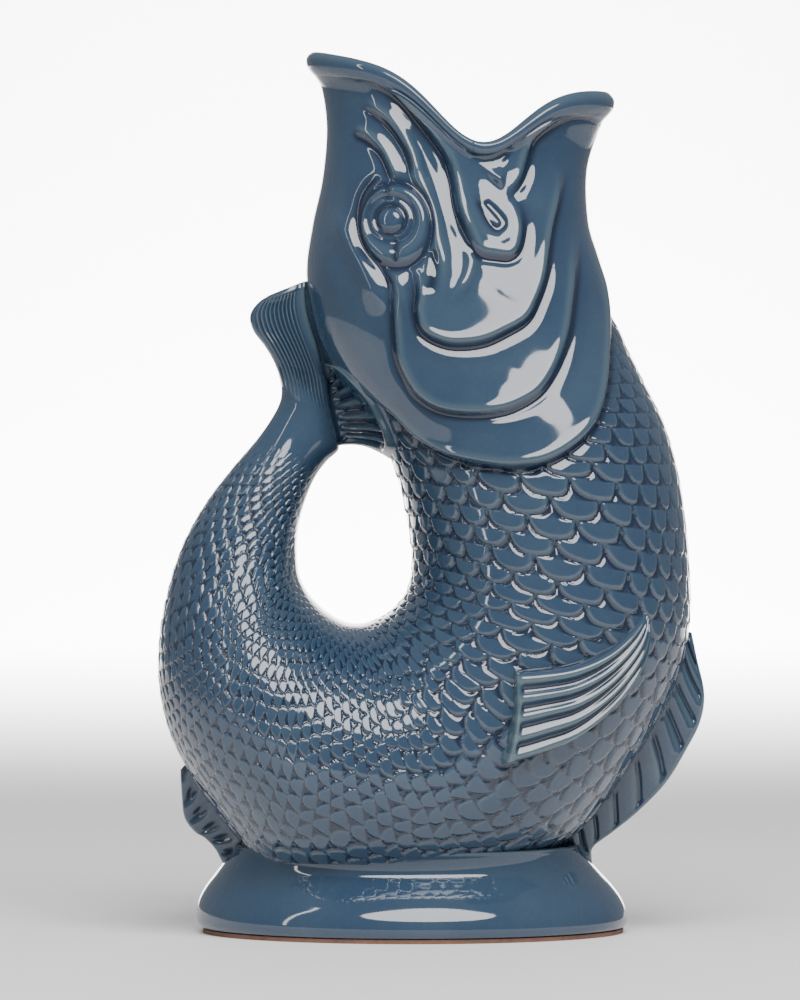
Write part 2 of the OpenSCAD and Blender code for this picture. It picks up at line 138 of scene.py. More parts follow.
# How much closer together than even the columns of points lie on the two flanks
COLUMN_GATHERING = 0.3
# Turn from the belly line at which the lips meet
MOUTH_CORNER = 0.2375

# Middles of the scales on one side of the chest, as shares of a turn from the belly line to the back line:
# they are widest in the middle of the flank. Down the belly they become even.
CHEST_SCALE_TURNS = [0, 0.040, 0.080, 0.120, 0.167, 0.245, 0.318, 0.367, 0.414, 0.457, 0.500]
CHEST_SCALES_END, EVEN_SCALES_START = 0.389, 0.441
# Rows of scales to a section, from the first section to the last: the sections, and the rates there
ROW_RATES = [0, 14, 14.6, 15.5, 17, 20, 22, SECTIONS], [3.0, 3.0, 3.5, 4.3, 4.8, 4.2, 2.9, 2.9]
# Sections from which the belly's and the tail's numbers of scales begin
NARROWING_SECTION, TAIL_SECTION = 14, 20.5

# Curves of the head as they are seen from the side, as shares of the jug's length and height. The
# raised side is on the left of the way that each runs.
GILL_EDGE = [
    (-0.124, 0.623), (-0.087, 0.609), (-0.036, 0.588), (0.004, 0.563), (0.060, 0.542), (0.122, 0.532),
    (0.182, 0.528), (0.244, 0.534), (0.300, 0.555), (0.337, 0.583), (0.353, 0.620), (0.357, 0.661),
    (0.357, 0.700), (0.350, 0.733), (0.341, 0.761), (0.330, 0.800),
]
OPERCLE_EDGE = [
    (-0.029, 0.761), (-0.036, 0.733), (-0.035, 0.700), (-0.033, 0.676), (-0.027, 0.650), (-0.009, 0.626),
    (0.015, 0.607), (0.053, 0.593), (0.109, 0.588), (0.162, 0.591), (0.200, 0.600), (0.231, 0.613),
    (0.253, 0.632), (0.270, 0.656), (0.282, 0.684), (0.288, 0.718), (0.295, 0.758), (0.304, 0.795),
]
CHEEK_EDGE = [
    (-0.016, 0.761), (0.002, 0.744), (0.009, 0.724), (0.007, 0.705), (0.016, 0.684), (0.040, 0.672),
    (0.076, 0.666), (0.127, 0.669), (0.171, 0.681), (0.206, 0.695), (0.224, 0.717), (0.237, 0.743),
    (0.246, 0.775), (0.255, 0.807), (0.268, 0.841), (0.280, 0.872),
]
LIP_GROOVE = [
    (-0.230, 0.974), (-0.157, 0.973), (-0.124, 0.974), (-0.093, 0.972), (-0.067, 0.964),
    (-0.027, 0.947), (0.016, 0.917),
    (0.056, 0.883), (0.071, 0.855), (0.080, 0.824), (0.097, 0.797), (0.111, 0.778), (0.127, 0.770),
    (0.151, 0.767), (0.175, 0.766), (0.191, 0.776), (0.197, 0.799), (0.191, 0.819), (0.178, 0.833),
    (0.158, 0.842),
]
LOWER_LIP_GROOVE = [
    (0.158, 0.836), (0.178, 0.840), (0.197, 0.856), (0.206, 0.873), (0.219, 0.898), (0.246, 0.914),
    (0.284, 0.927), (0.322, 0.928), (0.341, 0.925), (0.420, 0.920),
]
# The web of skin in the corner of the mouth. It leans: its slope, the height at which it lies even with the
# skin, and the length over which it begins.
WEB = [(0.091, 0.889), (0.178, 0.893), (0.171, 0.866), (0.157, 0.844)]
WEB_TILT, WEB_MIDDLE, WEB_FADE = 0.50, 0.872, 2 * MM
JAW_LOBE = LIP_GROOVE[7:] + [(0.115, 0.868), (0.091, 0.889)]
JAW_GROOVE = [
    (0.117, 0.831), (0.133, 0.811), (0.142, 0.802), (0.153, 0.798), (0.162, 0.802), (0.162, 0.808),
    (0.148, 0.820), (0.130, 0.831),
]
NOSTRIL_EDGE = [(-0.093, 0.941), (-0.053, 0.923), (-0.024, 0.902), (-0.005, 0.880), (0.000, 0.855)]
NOSTRIL_HOLLOW = [(-0.078, 0.930), (-0.049, 0.905), (-0.027, 0.882), (-0.015, 0.864)]
BROW_EDGE = [(-0.113, 0.910), (-0.082, 0.900), (-0.058, 0.885), (-0.044, 0.867), (-0.036, 0.852)]
SNOUT_RIDGE = [
    (-0.093, 0.945), (-0.060, 0.936), (-0.025, 0.915), (-0.004, 0.890), (0.009, 0.864), (0.024, 0.838),
    (0.038, 0.809), (0.047, 0.781), (0.055, 0.757), (0.051, 0.734), (0.033, 0.717),
]
SNOUT_VALLEY = [
    (-0.038, 0.936), (-0.002, 0.909), (0.029, 0.875), (0.049, 0.838), (0.064, 0.803), (0.080, 0.773),
    (0.084, 0.750),
]
SNOUT_FOLD = [
    (0.082, 0.832), (0.093, 0.807), (0.104, 0.784), (0.107, 0.764), (0.100, 0.743), (0.082, 0.727),
    (0.060, 0.716),
]
EYE_RIDGE = [(0.025, 0.768), (0.029, 0.748), (0.027, 0.726)]
EYE_FOLD = [(-0.031, 0.764), (-0.024, 0.743), (-0.015, 0.718), (-0.002, 0.691)]
EYE_LINE = [(0.036, 0.775), (0.038, 0.752), (0.033, 0.727)]
CHEEKBONE = [
    (-0.137, 0.828), (-0.127, 0.800), (-0.107, 0.775), (-0.084, 0.747), (-0.067, 0.722),
    (-0.064, 0.698),
]
LIP_BAND = [
    (-0.060, 0.977), (-0.027, 0.957), (0.015, 0.930), (0.049, 0.900), (0.076, 0.869), (0.091, 0.843),
    (0.104, 0.822), (0.120, 0.801), (0.140, 0.788), (0.162, 0.788), (0.175, 0.799), (0.171, 0.815),
    (0.155, 0.828),
]
SOCKET_EDGE = [
    (-0.046, 0.858), (-0.073, 0.849), (-0.091, 0.832), (-0.097, 0.805), (-0.087, 0.780),
    (-0.062, 0.760), (-0.042, 0.741), (-0.036, 0.718),
]
# From the end of the gill edge round the outside of the head
HEAD_OUTLINE = [(0.30, 0.83), (0.42, 0.93), (0.42, 1.1), (-0.4, 1.1), (-0.4, 0.623)]
# The eye: middles of its ring and of the ball, and how much taller than wide the ring is
EYE_CENTRE, BALL_CENTRE, RING_HEIGHT = (-0.031, 0.803), (-0.040, 0.809), 1.2
EYE_NOTCHES = [[(-0.046, 0.851), (-0.044, 0.831)], [(-0.031, 0.788), (-0.029, 0.760)]]

# The lips' profile from the outside over the top to the inside. Each row: share of the lips' stretch of
# the way, then how far out, in and up, as shares of the lips' bulge, of the wall and of the lips' rise.
LIP_PROFILE = [
    (0.86, 0.35, 0, 0), (0.62, 0.85, 0, 0), (0.30, 1, 0, 0), (0, 0.7, 0, 0.40), (0, 0, 0.2, 0.97),
    (0, 0, 0.6, 0.78), (0, 0, 1, 0), (0.60, 0, 1, 0), (1, 0, 1, 0)]
# Edges of the side fin on the skin, from its root to its free edge: shares of the way and of a turn
SIDE_FIN_TOP = [
    (0.331, 0.137), (0.343, 0.160), (0.356, 0.185), (0.366, 0.212), (0.374, 0.240), (0.381, 0.265)]
SIDE_FIN_BOTTOM = [
    (0.336, 0.129), (0.354, 0.127), (0.375, 0.140), (0.394, 0.162), (0.407, 0.189), (0.419, 0.210)]
# How far the side fin's rim is sunk in the skin
SIDE_FIN_SUNK = 0.6 * MM
# Free edges of the fins on the belly line: X and Z, and the share of the way where each is rooted
BELLY_FIN_EDGE = [
    (0.508, 0.340, 0.336), (0.518, 0.310, 0.347), (0.531, 0.272, 0.361), (0.524, 0.240, 0.372),
    (0.500, 0.209, 0.383), (0.462, 0.170, 0.394), (0.413, 0.138, 0.406), (0.366, 0.114, 0.414),
    (0.330, 0.097, 0.419), (0.326, 0.084, 0.425), (0.330, 0.070, 0.431), (0.325, 0.058, 0.436)]
ANAL_FIN_EDGE = [
    (-0.424, 0.184, 0.549), (-0.422, 0.156, 0.541), (-0.417, 0.130, 0.534), (-0.399, 0.114, 0.527),
    (-0.379, 0.106, 0.521), (-0.361, 0.094, 0.515), (-0.349, 0.080, 0.509), (-0.335, 0.066, 0.504)]
# Edges of the tail's lower lobe on the right side, from the top down, where it grows out of the palm and
# where it lies on the head's back: shares of the way and of a turn
LOBE_AT_PALM = [
    (0.868, 0.500), (0.862, 0.470), (0.850, 0.450), (0.836, 0.440), (0.822, 0.440), (0.808, 0.445),
    (0.794, 0.460), (0.784, 0.500)]
LOBE_AT_BACK = [
    (0.213, 0.500), (0.214, 0.462), (0.217, 0.431), (0.224, 0.415), (0.236, 0.409), (0.249, 0.417),
    (0.260, 0.424), (0.269, 0.440), (0.276, 0.500)]
# Ribs along each side of the lower lobe
LOWER_RIBS = 9
# The pedestal's outside from the foot up, as shares of its half length at the ends, of its half width at
# the front and of its height. It rises a little past its own top, up the belly. Then its inside, down to
# the floor.
PEDESTAL_OUTSIDE = [
    (0.950, 0.950, 0.055), (0.985, 0.985, 0.075), (1.000, 1.000, 0.150), (1.000, 0.996, 0.250),
    (0.994, 0.977, 0.350), (0.979, 0.946, 0.450), (0.957, 0.908, 0.550), (0.930, 0.868, 0.650),
    (0.898, 0.829, 0.750), (0.868, 0.798, 0.850), (0.840, 0.797, 0.950), (0.818, 0.816, 1.040),
    (0.806, 0.834, 1.095), (0.796, 0.836, 1.130), (0.750, 0.790, 1.140)]
PEDESTAL_INSIDE = [(0.60, 1), (0.66, 0.88), (0.76, 0.68), (0.80, 0.50), (0.76, 0.34)]


def smooth(x):
    """An S-shaped step from 0 to 1."""
    x = np.clip(x, 0, 1)
    return x * x * (3 - 2 * x)


def rising(x, start, over):
    """An S-shaped step from 0 at the start to 1, over a length."""
    return smooth((x - start) / over)


def falling(x, end, over):
    """An S-shaped step from 1 down to 0 at the end, over a length."""
    return smooth((end - x) / over)


def bell(x, middle=0.0, width=1.0):
    """A rounded hump that is 1 at its middle and nearly 0 two widths away."""
    x = (x - middle) / width
    return np.exp(-x * x)


def along(table, share):
    """The row of a table at a share of its length, on a smooth curve through its rows."""
    rows = np.asarray(table, float)
    last = len(rows) - 1
    u = np.asarray(share, float) * last
    i = np.clip(np.floor(u).astype(int), 0, last - 1)
    t = (u - i)[..., None]
    a, b, c, d = (rows[np.clip(i + k, 0, last)] for k in (-1, 0, 1, 2))
    return (2 * b + (c - a) * t + (2 * a - 5 * b + 4 * c - d) * t**2 + (3 * b - a - 3 * c + d) * t**3) / 2


def skin(way, turn, off=0.0):
    """Points of the skin at shares of the way and of a turn from the belly line, moved out by off."""
    way, turn, off = np.broadcast_arrays(way, turn, off)
    s = along(SECTION_SHARES, way)
    back, belly = s[..., 0:2] * SPAN, s[..., 2:4] * SPAN
    chord = belly - back
    half = np.linalg.norm(chord, axis=-1, keepdims=True) / 2
    angle = 2 * np.pi * turn
    at = (back + belly) / 2 + chord / (2 * half) * (half + off[..., None]) * np.cos(angle)[..., None]
    dip = s[..., 5] * JUG_HEIGHT * bell(np.cos(angle), DIP_CENTRE, DIP_WIDTH)
    return np.stack([at[..., 0], -(s[..., 4] * BELLY_WIDTH / 2 + off) * np.sin(angle), at[..., 1] - dip], -1)


def seen_from_side(points):
    """X and Z at which points show on the jug's middle plane from the viewing distance, either side alike."""
    near = VIEW_DISTANCE / (VIEW_DISTANCE - np.abs(points[..., 1]))
    return np.stack([
        AIM_X + (points[..., 0] - AIM_X) * near, VIEW_HEIGHT + (points[..., 2] - VIEW_HEIGHT) * near], -1)


def beside(places, shares, reach):
    """How far places lie to the left of a curve, minus to its right, and the share of the curve that each
    is next to. Places beyond the reach count as far off."""
    line = along(shares, np.linspace(0, 1, CURVE_POINTS * len(shares))) * SPAN
    steps = np.diff(line, axis=0)
    lengths = np.linalg.norm(steps, axis=1)
    marks = np.concatenate([[0], np.cumsum(lengths)]) / lengths.sum()
    far, share = np.full(places.shape[:-1], -1.0), np.zeros(places.shape[:-1])
    low, high = line.min(0) - reach, line.max(0) + reach
    near = np.all((places > low) & (places < high), axis=-1)
    spots = places[near]
    best, side, at = np.full(len(spots), np.inf), np.ones(len(spots)), np.zeros(len(spots))
    for start, step, length, mark, end in zip(line, steps, lengths, marks, marks[1:]):
        gap = spots - start
        q = np.clip(gap @ step / length**2, 0, 1)
        distance = np.linalg.norm(gap - q[:, None] * step, axis=1)
        closer = distance < best
        best[closer] = distance[closer]
        side[closer] = np.sign(step[0] * gap[closer, 1] - step[1] * gap[closer, 0])
        at[closer] = mark + (end - mark) * q[closer]
    far[near], share[near] = best * side, at
    return far, share


def within(places, shares):
    """Whether places lie inside a closed outline."""
    outline = np.asarray(shares) * SPAN
    inside = np.zeros(places.shape[:-1], bool)
    for (ax, az), (bx, bz) in zip(outline, np.roll(outline, -1, axis=0)):
        if az != bz:
            crosses = (az > places[..., 1]) != (bz > places[..., 1])
            inside ^= crosses & (places[..., 0] < (bx - ax) * (places[..., 1] - az) / (bz - az) + ax)
    return inside


def column_turns(count, first=0.0):
    """Turns of the columns of points round a section, closest together on the two flanks."""
    even = (np.arange(count) + first) / count
    return even + COLUMN_GATHERING * np.sin(4 * np.pi * even) / (4 * np.pi)


def softened(values):
    """Values on a grid of points, averaged with those beside them."""
    for _ in range(2):
        wide = np.pad(values, 1, mode="edge")
        wide = (wide[:-2] + 2 * wide[1:-1] + wide[2:]) / 4
        values = (wide[:, :-2] + 2 * wide[:, 1:-1] + wide[:, 2:]) / 4
    return values


def grid_normals(points):
    """Outward normals of a grid of points whose rows are closed loops round the fish."""
    round_it = np.roll(points, -1, axis=1) - np.roll(points, 1, axis=1)
    normals = np.cross(round_it, np.gradient(points, axis=0))
    return normals / np.maximum(np.linalg.norm(normals, axis=-1, keepdims=True), 1e-12)


# Meshes


def new_mesh(name, points, faces, normals=None, **values):
    """An object from points and a list of face arrays, all faces turned outwards. The values are numbers
    kept on each point, for the materials."""
    grid = np.shape(points)[:-1]
    points = np.asarray(points, float).reshape(-1, 3)
    faces = [np.asarray(f, np.int64) for f in faces if len(f)]
    volume = sum(
        np.einsum("ij,ij->", points[f[:, 0]], np.cross(points[f[:, k]], points[f[:, k + 1]]))
        for f in faces for k in range(1, f.shape[1] - 1))
    if volume < 0:
        faces = [f[:, ::-1] for f in faces]
    mesh = bpy.data.meshes.new(name)
    corners = np.concatenate([f.ravel() for f in faces])
    sizes = np.concatenate([np.full(len(f), f.shape[1]) for f in faces])
    mesh.vertices.add(len(points))
    mesh.vertices.foreach_set("co", points.astype(np.float32).ravel())
    mesh.loops.add(len(corners))
    mesh.loops.foreach_set("vertex_index", corners.astype(np.int32))
    mesh.polygons.add(len(sizes))
    mesh.polygons.foreach_set("loop_start", (np.cumsum(sizes) - sizes).astype(np.int32))
    mesh.update(calc_edges=True)
    mesh.polygons.foreach_set("use_smooth", np.ones(len(sizes), bool))
    for kind, numbers in values.items():
        kept = mesh.attributes.new(kind, "FLOAT", "POINT")
        kept.data.foreach_set("value", np.broadcast_to(numbers, grid).astype(np.float32).ravel())
    mesh.validate()
    if normals is not None:
        mesh.normals_split_custom_set_from_vertices(np.asarray(normals, np.float32).reshape(-1, 3))
    made = bpy.data.objects.new(name, mesh)
    bpy.context.scene.collection.objects.link(made)
    return made


def loop_faces(rows, columns, first=0):
    """Quads between rows of points, each row a closed loop, numbered from first."""
    r, k = np.meshgrid(np.arange(rows - 1), np.arange(columns), indexing="ij")
    a, b = r * columns + k, r * columns + (k + 1) % columns
    return first + np.stack([a, b, b + columns, a + columns], -1).reshape(-1, 4)


def fan_faces(loop, middle, turned):
    """Triangles from a closed loop of point numbers to its middle point."""
    fan = np.stack([np.full(len(loop), middle), np.roll(loop, -1), loop], -1)
    return fan[:, ::-1] if turned else fan


def band_faces(fine, coarse, turned):
    """Triangles between a closed loop of many points and one of few."""
    ratio = len(fine) // len(coarse)
    here = np.arange(len(fine)) // ratio
    last = (np.arange(len(fine)) + 1) % ratio == 0
    following = np.roll(fine, -1)
    out = np.concatenate([
        np.stack([fine, following, coarse[here]], -1),
        np.stack([following[last], np.roll(coarse, -1), coarse], -1)])
    return out[:, ::-1] if turned else out


def lofted(name, loops, **values):
    """A closed piece through rows of closed loops, with a middle point at each end."""
    rows, columns = loops.shape[:2]
    count = rows * columns
    points = np.concatenate([loops.reshape(-1, 3), [loops[0].mean(0), loops[-1].mean(0)]])
    faces = [
        loop_faces(rows, columns), fan_faces(np.arange(columns), count, False),
        fan_faces(np.arange(count - columns, count), count + 1, True)]
    kept = {kind: np.append(np.broadcast_to(v, (rows, columns)), [0, 0]) for kind, v in values.items()}
    return new_mesh(name, points, faces, **kept)


def hollow_piece(name, points, normals, ends, **values):
    """A closed piece with the fine rows of points outside and a plain wall inside, between two ways."""
    rows, columns = points.shape[:2]
    inner_rows = max(FEWEST_INNER_ROWS, rows // ROWS_TO_INNER_ROW)
    ways = np.linspace(ends[1], ends[0], inner_rows)
    inner = skin(ways[:, None], column_turns(INNER_COLUMNS, 0.5), -bpy.context.scene.jug_vessel.wall)
    inner[..., 2] = np.maximum(inner[..., 2], PEDESTAL_HIGH.z + 1 * MM)
    inner_normals = -grid_normals(inner[::-1])[::-1]
    count, inner_count = rows * columns, inner_rows * INNER_COLUMNS
    loop = count + np.arange(INNER_COLUMNS)
    faces = [
        loop_faces(rows, columns), loop_faces(inner_rows, INNER_COLUMNS, count),
        band_faces(np.arange(count - columns, count), loop, False),
        band_faces(np.arange(columns), loop + inner_count - INNER_COLUMNS, True),
    ]
    kept = {kind: np.append(v, np.zeros(inner_count)) for kind, v in values.items()}
    return new_mesh(
        name, np.concatenate([points.reshape(-1, 3), inner.reshape(-1, 3)]), faces,
        np.concatenate([normals.reshape(-1, 3), inner_normals.reshape(-1, 3)]), **kept)


def patch_piece(name, points, normals, covered, **values):
    """A closed piece cut out of the skin: the faces that are covered, and a back beneath them."""
    rows, columns = points.shape[:2]
    faces = loop_faces(rows, columns)[covered.ravel()]
    used, numbered = np.unique(faces, return_inverse=True)
    top = numbered.reshape(-1, 4)
    count = len(used)
    edges = np.stack([top, np.roll(top, -1, axis=1)], -1).reshape(-1, 2)
    keys = np.sort(edges, axis=1) @ [count + 1, 1]
    _, found_at, times = np.unique(keys, return_index=True, return_counts=True)
    rim = edges[found_at[times == 1]]
    sides = np.stack([rim[:, 1], rim[:, 0], rim[:, 0] + count, rim[:, 1] + count], -1)
    out = normals.reshape(-1, 3)[used]
    outside = points.reshape(-1, 3)[used] + out * PATCH_LIFT
    kept = {kind: np.tile(np.ravel(v)[used], 2) for kind, v in values.items()}
    return new_mesh(
        name, np.concatenate([outside, outside - out * PATCH_DEPTH]), [top, top[:, ::-1] + count, sides],
        np.concatenate([out, -out]), **kept)


# Node trees


class Value:
    """A number or vector that varies over a node tree. Sums written with it become Math nodes."""

    def __init__(self, tree, socket):
        self.tree, self.socket = tree, socket

    def output(self, name):
        """Another output of the same node."""
        return Value(self.tree, self.socket.node.outputs[name])

    def math(self, operation, *others):
        """What a Math node makes of this value and others."""
        inputs = dict(enumerate((self, *others)))
        return node_out(self.tree, "ShaderNodeMath", inputs, operation=operation)

    def __add__(self, other):
        return self.math("ADD", other)

    def __sub__(self, other):
        return self.math("SUBTRACT", other)

    def __mul__(self, other):
        return self.math("MULTIPLY", other)

    def __truediv__(self, other):
        return self.math("DIVIDE", other)

    def less_from(self, number):
        """The number less this value."""
        return self.math("MULTIPLY_ADD", -1.0, number)

    def ramp(self, start, end, low=0.0, high=1.0):
        """A smooth step from low to high as the value goes from start to end."""
        inputs = dict(enumerate((self, start, end, low, high)))
        return node_out(self.tree, "ShaderNodeMapRange", inputs, interpolation_type="SMOOTHSTEP")


def put(tree, value, socket):
    """Links a value to a socket, or sets the socket to a plain number."""
    if isinstance(value, Value):
        tree.links.new(value.socket, socket)
    else:
        socket.default_value = value


def node_out(tree, kind, inputs, output=0, **settings):
    """A new node with its settings and inputs, as the Value of one output."""
    node = tree.nodes.new(kind)
    for name, setting in settings.items():
        setattr(node, name, setting)
    for name, value in inputs.items():
        put(tree, value, node.inputs[name])
    return Value(tree, node.outputs[output])


def new_tree(name, kind, inputs, outputs):
    """A node group with named sockets. An input is given by its default, or by its kind of socket where
    it has none. Returns the tree, its inputs as Values and its output node."""
    tree = bpy.data.node_groups.new(name, kind)
    for label, default in inputs.items():
        socket = {float: FLOAT, tuple: COLOUR}.get(type(default), default)
        made = tree.interface.new_socket(label, in_out="INPUT", socket_type=socket)
        if socket != default:
            made.default_value = default
    for label, socket in outputs.items():
        tree.interface.new_socket(label, in_out="OUTPUT", socket_type=socket)
    start = tree.nodes.new("NodeGroupInput")
    return tree, {s.name: Value(tree, s) for s in start.outputs if s.name}, tree.nodes.new("NodeGroupOutput")


def lay_out(tree):
    """Puts a tree's nodes in columns from left to right, by how far each is from the start."""
    depth = {node: 0 for node in tree.nodes}
    for _ in tree.nodes:
        for link in tree.links:
            depth[link.to_node] = max(depth[link.to_node], depth[link.from_node] + 1)
    filled = {}
    for node, column in depth.items():
        node.location = (column * 190, -filled.get(column, 0) * 170)
        filled[column] = filled.get(column, 0) + 1


FLOAT, COLOUR = "NodeSocketFloat", "NodeSocketColor"
GEOMETRY, MATERIAL = "NodeSocketGeometry", "NodeSocketMaterial"
# Inputs that both scale trees have: scales in a full turn of each stretch, the rows from which the next
# stretch begins, and the length of a scale's free part in rows
SCALE_LAYOUT = {
    "Breast Scales": 28.0, "Belly Scales": 48.0, "Tail Scales": 32.0, "Narrowing Starts": 42.0,
    "Tail Starts": 70.0, "Overlap": 1.05}
# Rows over which the number of scales changes from the breast to the belly, and on to the tail
NARROWING_ROWS, TAIL_ROWS = 9.0, 8.0
# How squarely a scale's sides and its tip are rounded
SIDE_POWER, TIP_POWER = 2.5, 2.0
# How far apart full unevenness moves the scales, in rows and in turns
ROW_RAGGEDNESS, TURN_RAGGEDNESS = 2.6, 0.075
# Scales that are at least this wide have the full relief, in metres
FULL_SCALE_WIDTH = 0.011


def scale_row_tree():
    """A group for one row of scales. It gives how far a point is inside the free edge of the row's scale
    there, how high the scale has risen, and the scale's width."""
    tree, given, end = new_tree(
        "Scale row", "GeometryNodeTree",
        {"Row": 0.0, "Turn": 0.0, "Number": 0.0, **SCALE_LAYOUT, "Turn Length": 0.25, "Row Length": 0.008},
        {"Inside": FLOAT, "Lift": FLOAT, "Width": FLOAT})
    number, overlap = given["Number"], given["Overlap"]
    to_belly = number.ramp(given["Narrowing Starts"], given["Narrowing Starts"] + NARROWING_ROWS)
    to_tail = number.ramp(given["Tail Starts"], given["Tail Starts"] + TAIL_ROWS)
    count = given["Breast Scales"] + (given["Belly Scales"] - given["Breast Scales"]) * to_belly
    count = (count + (given["Tail Scales"] - given["Belly Scales"]) * to_tail).math("ROUND")
    column = given["Turn"] * count + number.math("FLOORED_MODULO", 2.0) * 0.5
    aside = (column - column.math("ROUND")).math("ABSOLUTE") * 2.0
    below_root = (given["Row"] - number).math("MAXIMUM", 0.0)
    width = given["Turn Length"] / count
    shape = (aside.math("POWER", SIDE_POWER) + (below_root / overlap).math("POWER", TIP_POWER)).less_from(1.0)
    across = aside.math("POWER", SIDE_POWER - 1) * (2 * SIDE_POWER) / width
    down = below_root * TIP_POWER / (overlap * overlap) / given["Row Length"]
    slope = (across * across + down * down + 1.0).math("SQRT")
    put(tree, shape / slope, end.inputs["Inside"])
    put(tree, ((given["Row"] - number + 1.0) / (overlap + 1.0)).math("MAXIMUM", 0.0), end.inputs["Lift"])
    put(tree, width.math("MINIMUM", given["Row Length"] * 2.0), end.inputs["Width"])
    lay_out(tree)
    return tree


def scales_tree():
    """Geometry Nodes that raise overlapping scales on the skin. The skin's points carry the attributes
    row, turn, turn_length, row_length, outward, scaly, ragged, padded, relief, groove and ridge, and get
    the pooled glaze with its painted shade, dark in the grooves, and edge, light where the glaze is thin."""
    row_tree = scale_row_tree()
    tree, given, end = new_tree(
        "Fish scales", "GeometryNodeTree",
        {"Skin": GEOMETRY, "Glaze": MATERIAL, "Relief": 0.0011, "Groove Depth": 0.0008, **SCALE_LAYOUT,
         "Raggedness": 0.3, "Seed": 7.0}, {"Scaled Skin": GEOMETRY})

    def kept(name, kind="FLOAT"):
        """An attribute of the skin's points."""
        return node_out(tree, "GeometryNodeInputNamedAttribute", {"Name": name}, data_type=kind)

    def combined(a, b, operation, second=1):
        """A vector made from two, or from a vector and a number."""
        return node_out(tree, "ShaderNodeVectorMath", {0: a, second: b}, operation=operation)

    shift = node_out(tree, "ShaderNodeCombineXYZ", {"X": given["Seed"], "Y": given["Seed"] * 1.7})
    place = combined(node_out(tree, "GeometryNodeInputPosition", {}), shift, "ADD")
    noise = node_out(tree, "ShaderNodeTexNoise", {"Vector": place, "Scale": 95.0, "Detail": 0.0}, "Color")
    random = node_out(tree, "ShaderNodeSeparateXYZ", {0: noise}, "X")
    ragged = kept("ragged") * given["Raggedness"]
    row = kept("row") + (random - 0.5) * ragged * ROW_RAGGEDNESS
    turn = kept("turn") + (random.output("Y") - 0.5) * ragged * TURN_RAGGEDNESS
    first = (row - given["Overlap"]).math("CEIL")
    layout = {
        **{label: given[label] for label in SCALE_LAYOUT}, "Row": row, "Turn": turn,
        "Turn Length": kept("turn_length"), "Row Length": kept("row_length")}

    def row_of_scales(number):
        """How far inside its free edge, how high and how wide the scale of one row is here."""
        inputs = {**layout, "Number": first + float(number)}
        inside = node_out(tree, "GeometryNodeGroup", inputs, "Inside", node_tree=row_tree)
        return inside, inside.output("Lift"), inside.output("Width")

    def either(on_top, new, old):
        """The new value where the scale lies on top, and otherwise the old one."""
        return node_out(tree, "ShaderNodeMix", {"Factor": on_top, "A": old, "B": new}, data_type="FLOAT")

    # The rows from the deepest up: a scale covers those below it, up to its free edge
    inside, lift, width = row_of_scales(2)
    gap = node_out(tree, "ShaderNodeValue", {})
    gap.socket.default_value = 1.0
    for number in (1, 0):
        here, risen, broad = row_of_scales(number)
        on_top = here.math("GREATER_THAN", 0.0)
        gap = either(on_top, 1.0, gap.math("MINIMUM", here * -1.0))
        inside, lift, width = (
            either(on_top, new, old) for new, old in ((here, inside), (risen, lift), (broad, width)))

    padded, scaly = kept("padded"), kept("scaly")
    flank = inside.ramp(0.0, width * 0.10 + 0.0003)
    hollow = gap.ramp(0.0, width * 0.09 + padded * 0.0005 + 0.0005)
    full = (width / FULL_SCALE_WIDTH).math("MINIMUM", 1.0).math("POWER", 1.2).math("MAXIMUM", 0.22)
    height = (lift * flank - 1.0) * given["Relief"] * full * (padded * -0.45 + 1.0)
    height = height - hollow.less_from(1.0) * given["Groove Depth"] * full.math("MAXIMUM", 0.6)
    # The free edge and the groove beyond it are painted dark: pooled glaze, and painted shade that reaches
    # further than the carved groove.
    pool = inside.ramp(0.0, width * 0.06, 1.0, 0.0).math(
        "MAXIMUM", gap.ramp(0.0004, width * 0.12 + padded * 0.0005 + 0.0011, 1.0, 0.0))
    edge = inside.ramp(width * 0.04, width * 0.08) * inside.ramp(width * 0.10, width * 0.20, 0.6, 0.0)

    offset = combined(kept("outward", "FLOAT_VECTOR"), height * scaly + kept("relief"), "SCALE", "Scale")
    shape = node_out(tree, "GeometryNodeSetPosition", {"Geometry": given["Skin"], "Offset": offset})
    for name, scales, carved in (("pool", pool, "groove"), ("edge", edge, "ridge")):
        value = (scales * scaly).math("MAXIMUM", kept(carved))
        shape = node_out(
            tree, "GeometryNodeStoreNamedAttribute", {"Geometry": shape, "Name": name, "Value": value},
            data_type="FLOAT", domain="POINT")
    shape = node_out(tree, "GeometryNodeRealizeInstances", {"Geometry": shape})
    shape = node_out(tree, "GeometryNodeSetMaterial", {"Geometry": shape, "Material": given["Glaze"]})
    put(tree, shape, end.inputs["Scaled Skin"])
    lay_out(tree)
    return tree


def applied(carrier, tree, settings):
    """Runs a Geometry Nodes tree on an object, and gives the result as a plain mesh."""
    modifier = carrier.modifiers.new(tree.name, "NODES")
    modifier.node_group = tree
    sockets = {s.name: s.identifier for s in tree.interface.items_tree if s.in_out == "INPUT"}
    for label, value in settings.items():
        modifier[sockets[label]] = value
    bpy.context.view_layer.update()
    graph = bpy.context.evaluated_depsgraph_get()
    return bpy.data.meshes.new_from_object(carrier.evaluated_get(graph))


# Glaze


# How the glazes differ: roughness as a share of the setting, and the strengths of the thin edges
# (on the upright fins these also carry a painted highlight beside each crease), of the clouds and of the
# ripple
GLAZES = {
    "glaze": (1.0, 0.55, 0.16, 0.08), "fin_glaze": (1.0, 0.75, 0.22, 0.10),
    "eye_glaze": (0.8, 0.45, 0.10, 0.04),
}


def mixed(tree, factor, first, second):
    """A colour between two others."""
    return node_out(tree, "ShaderNodeMix", {0: factor, 6: first, 7: second}, 2, data_type="RGBA")


def noise_at(tree, place, **settings):
    """A noise texture at a place, from its Scale, Detail and Roughness."""
    return node_out(tree, "ShaderNodeTexNoise", {"Vector": place, **settings})


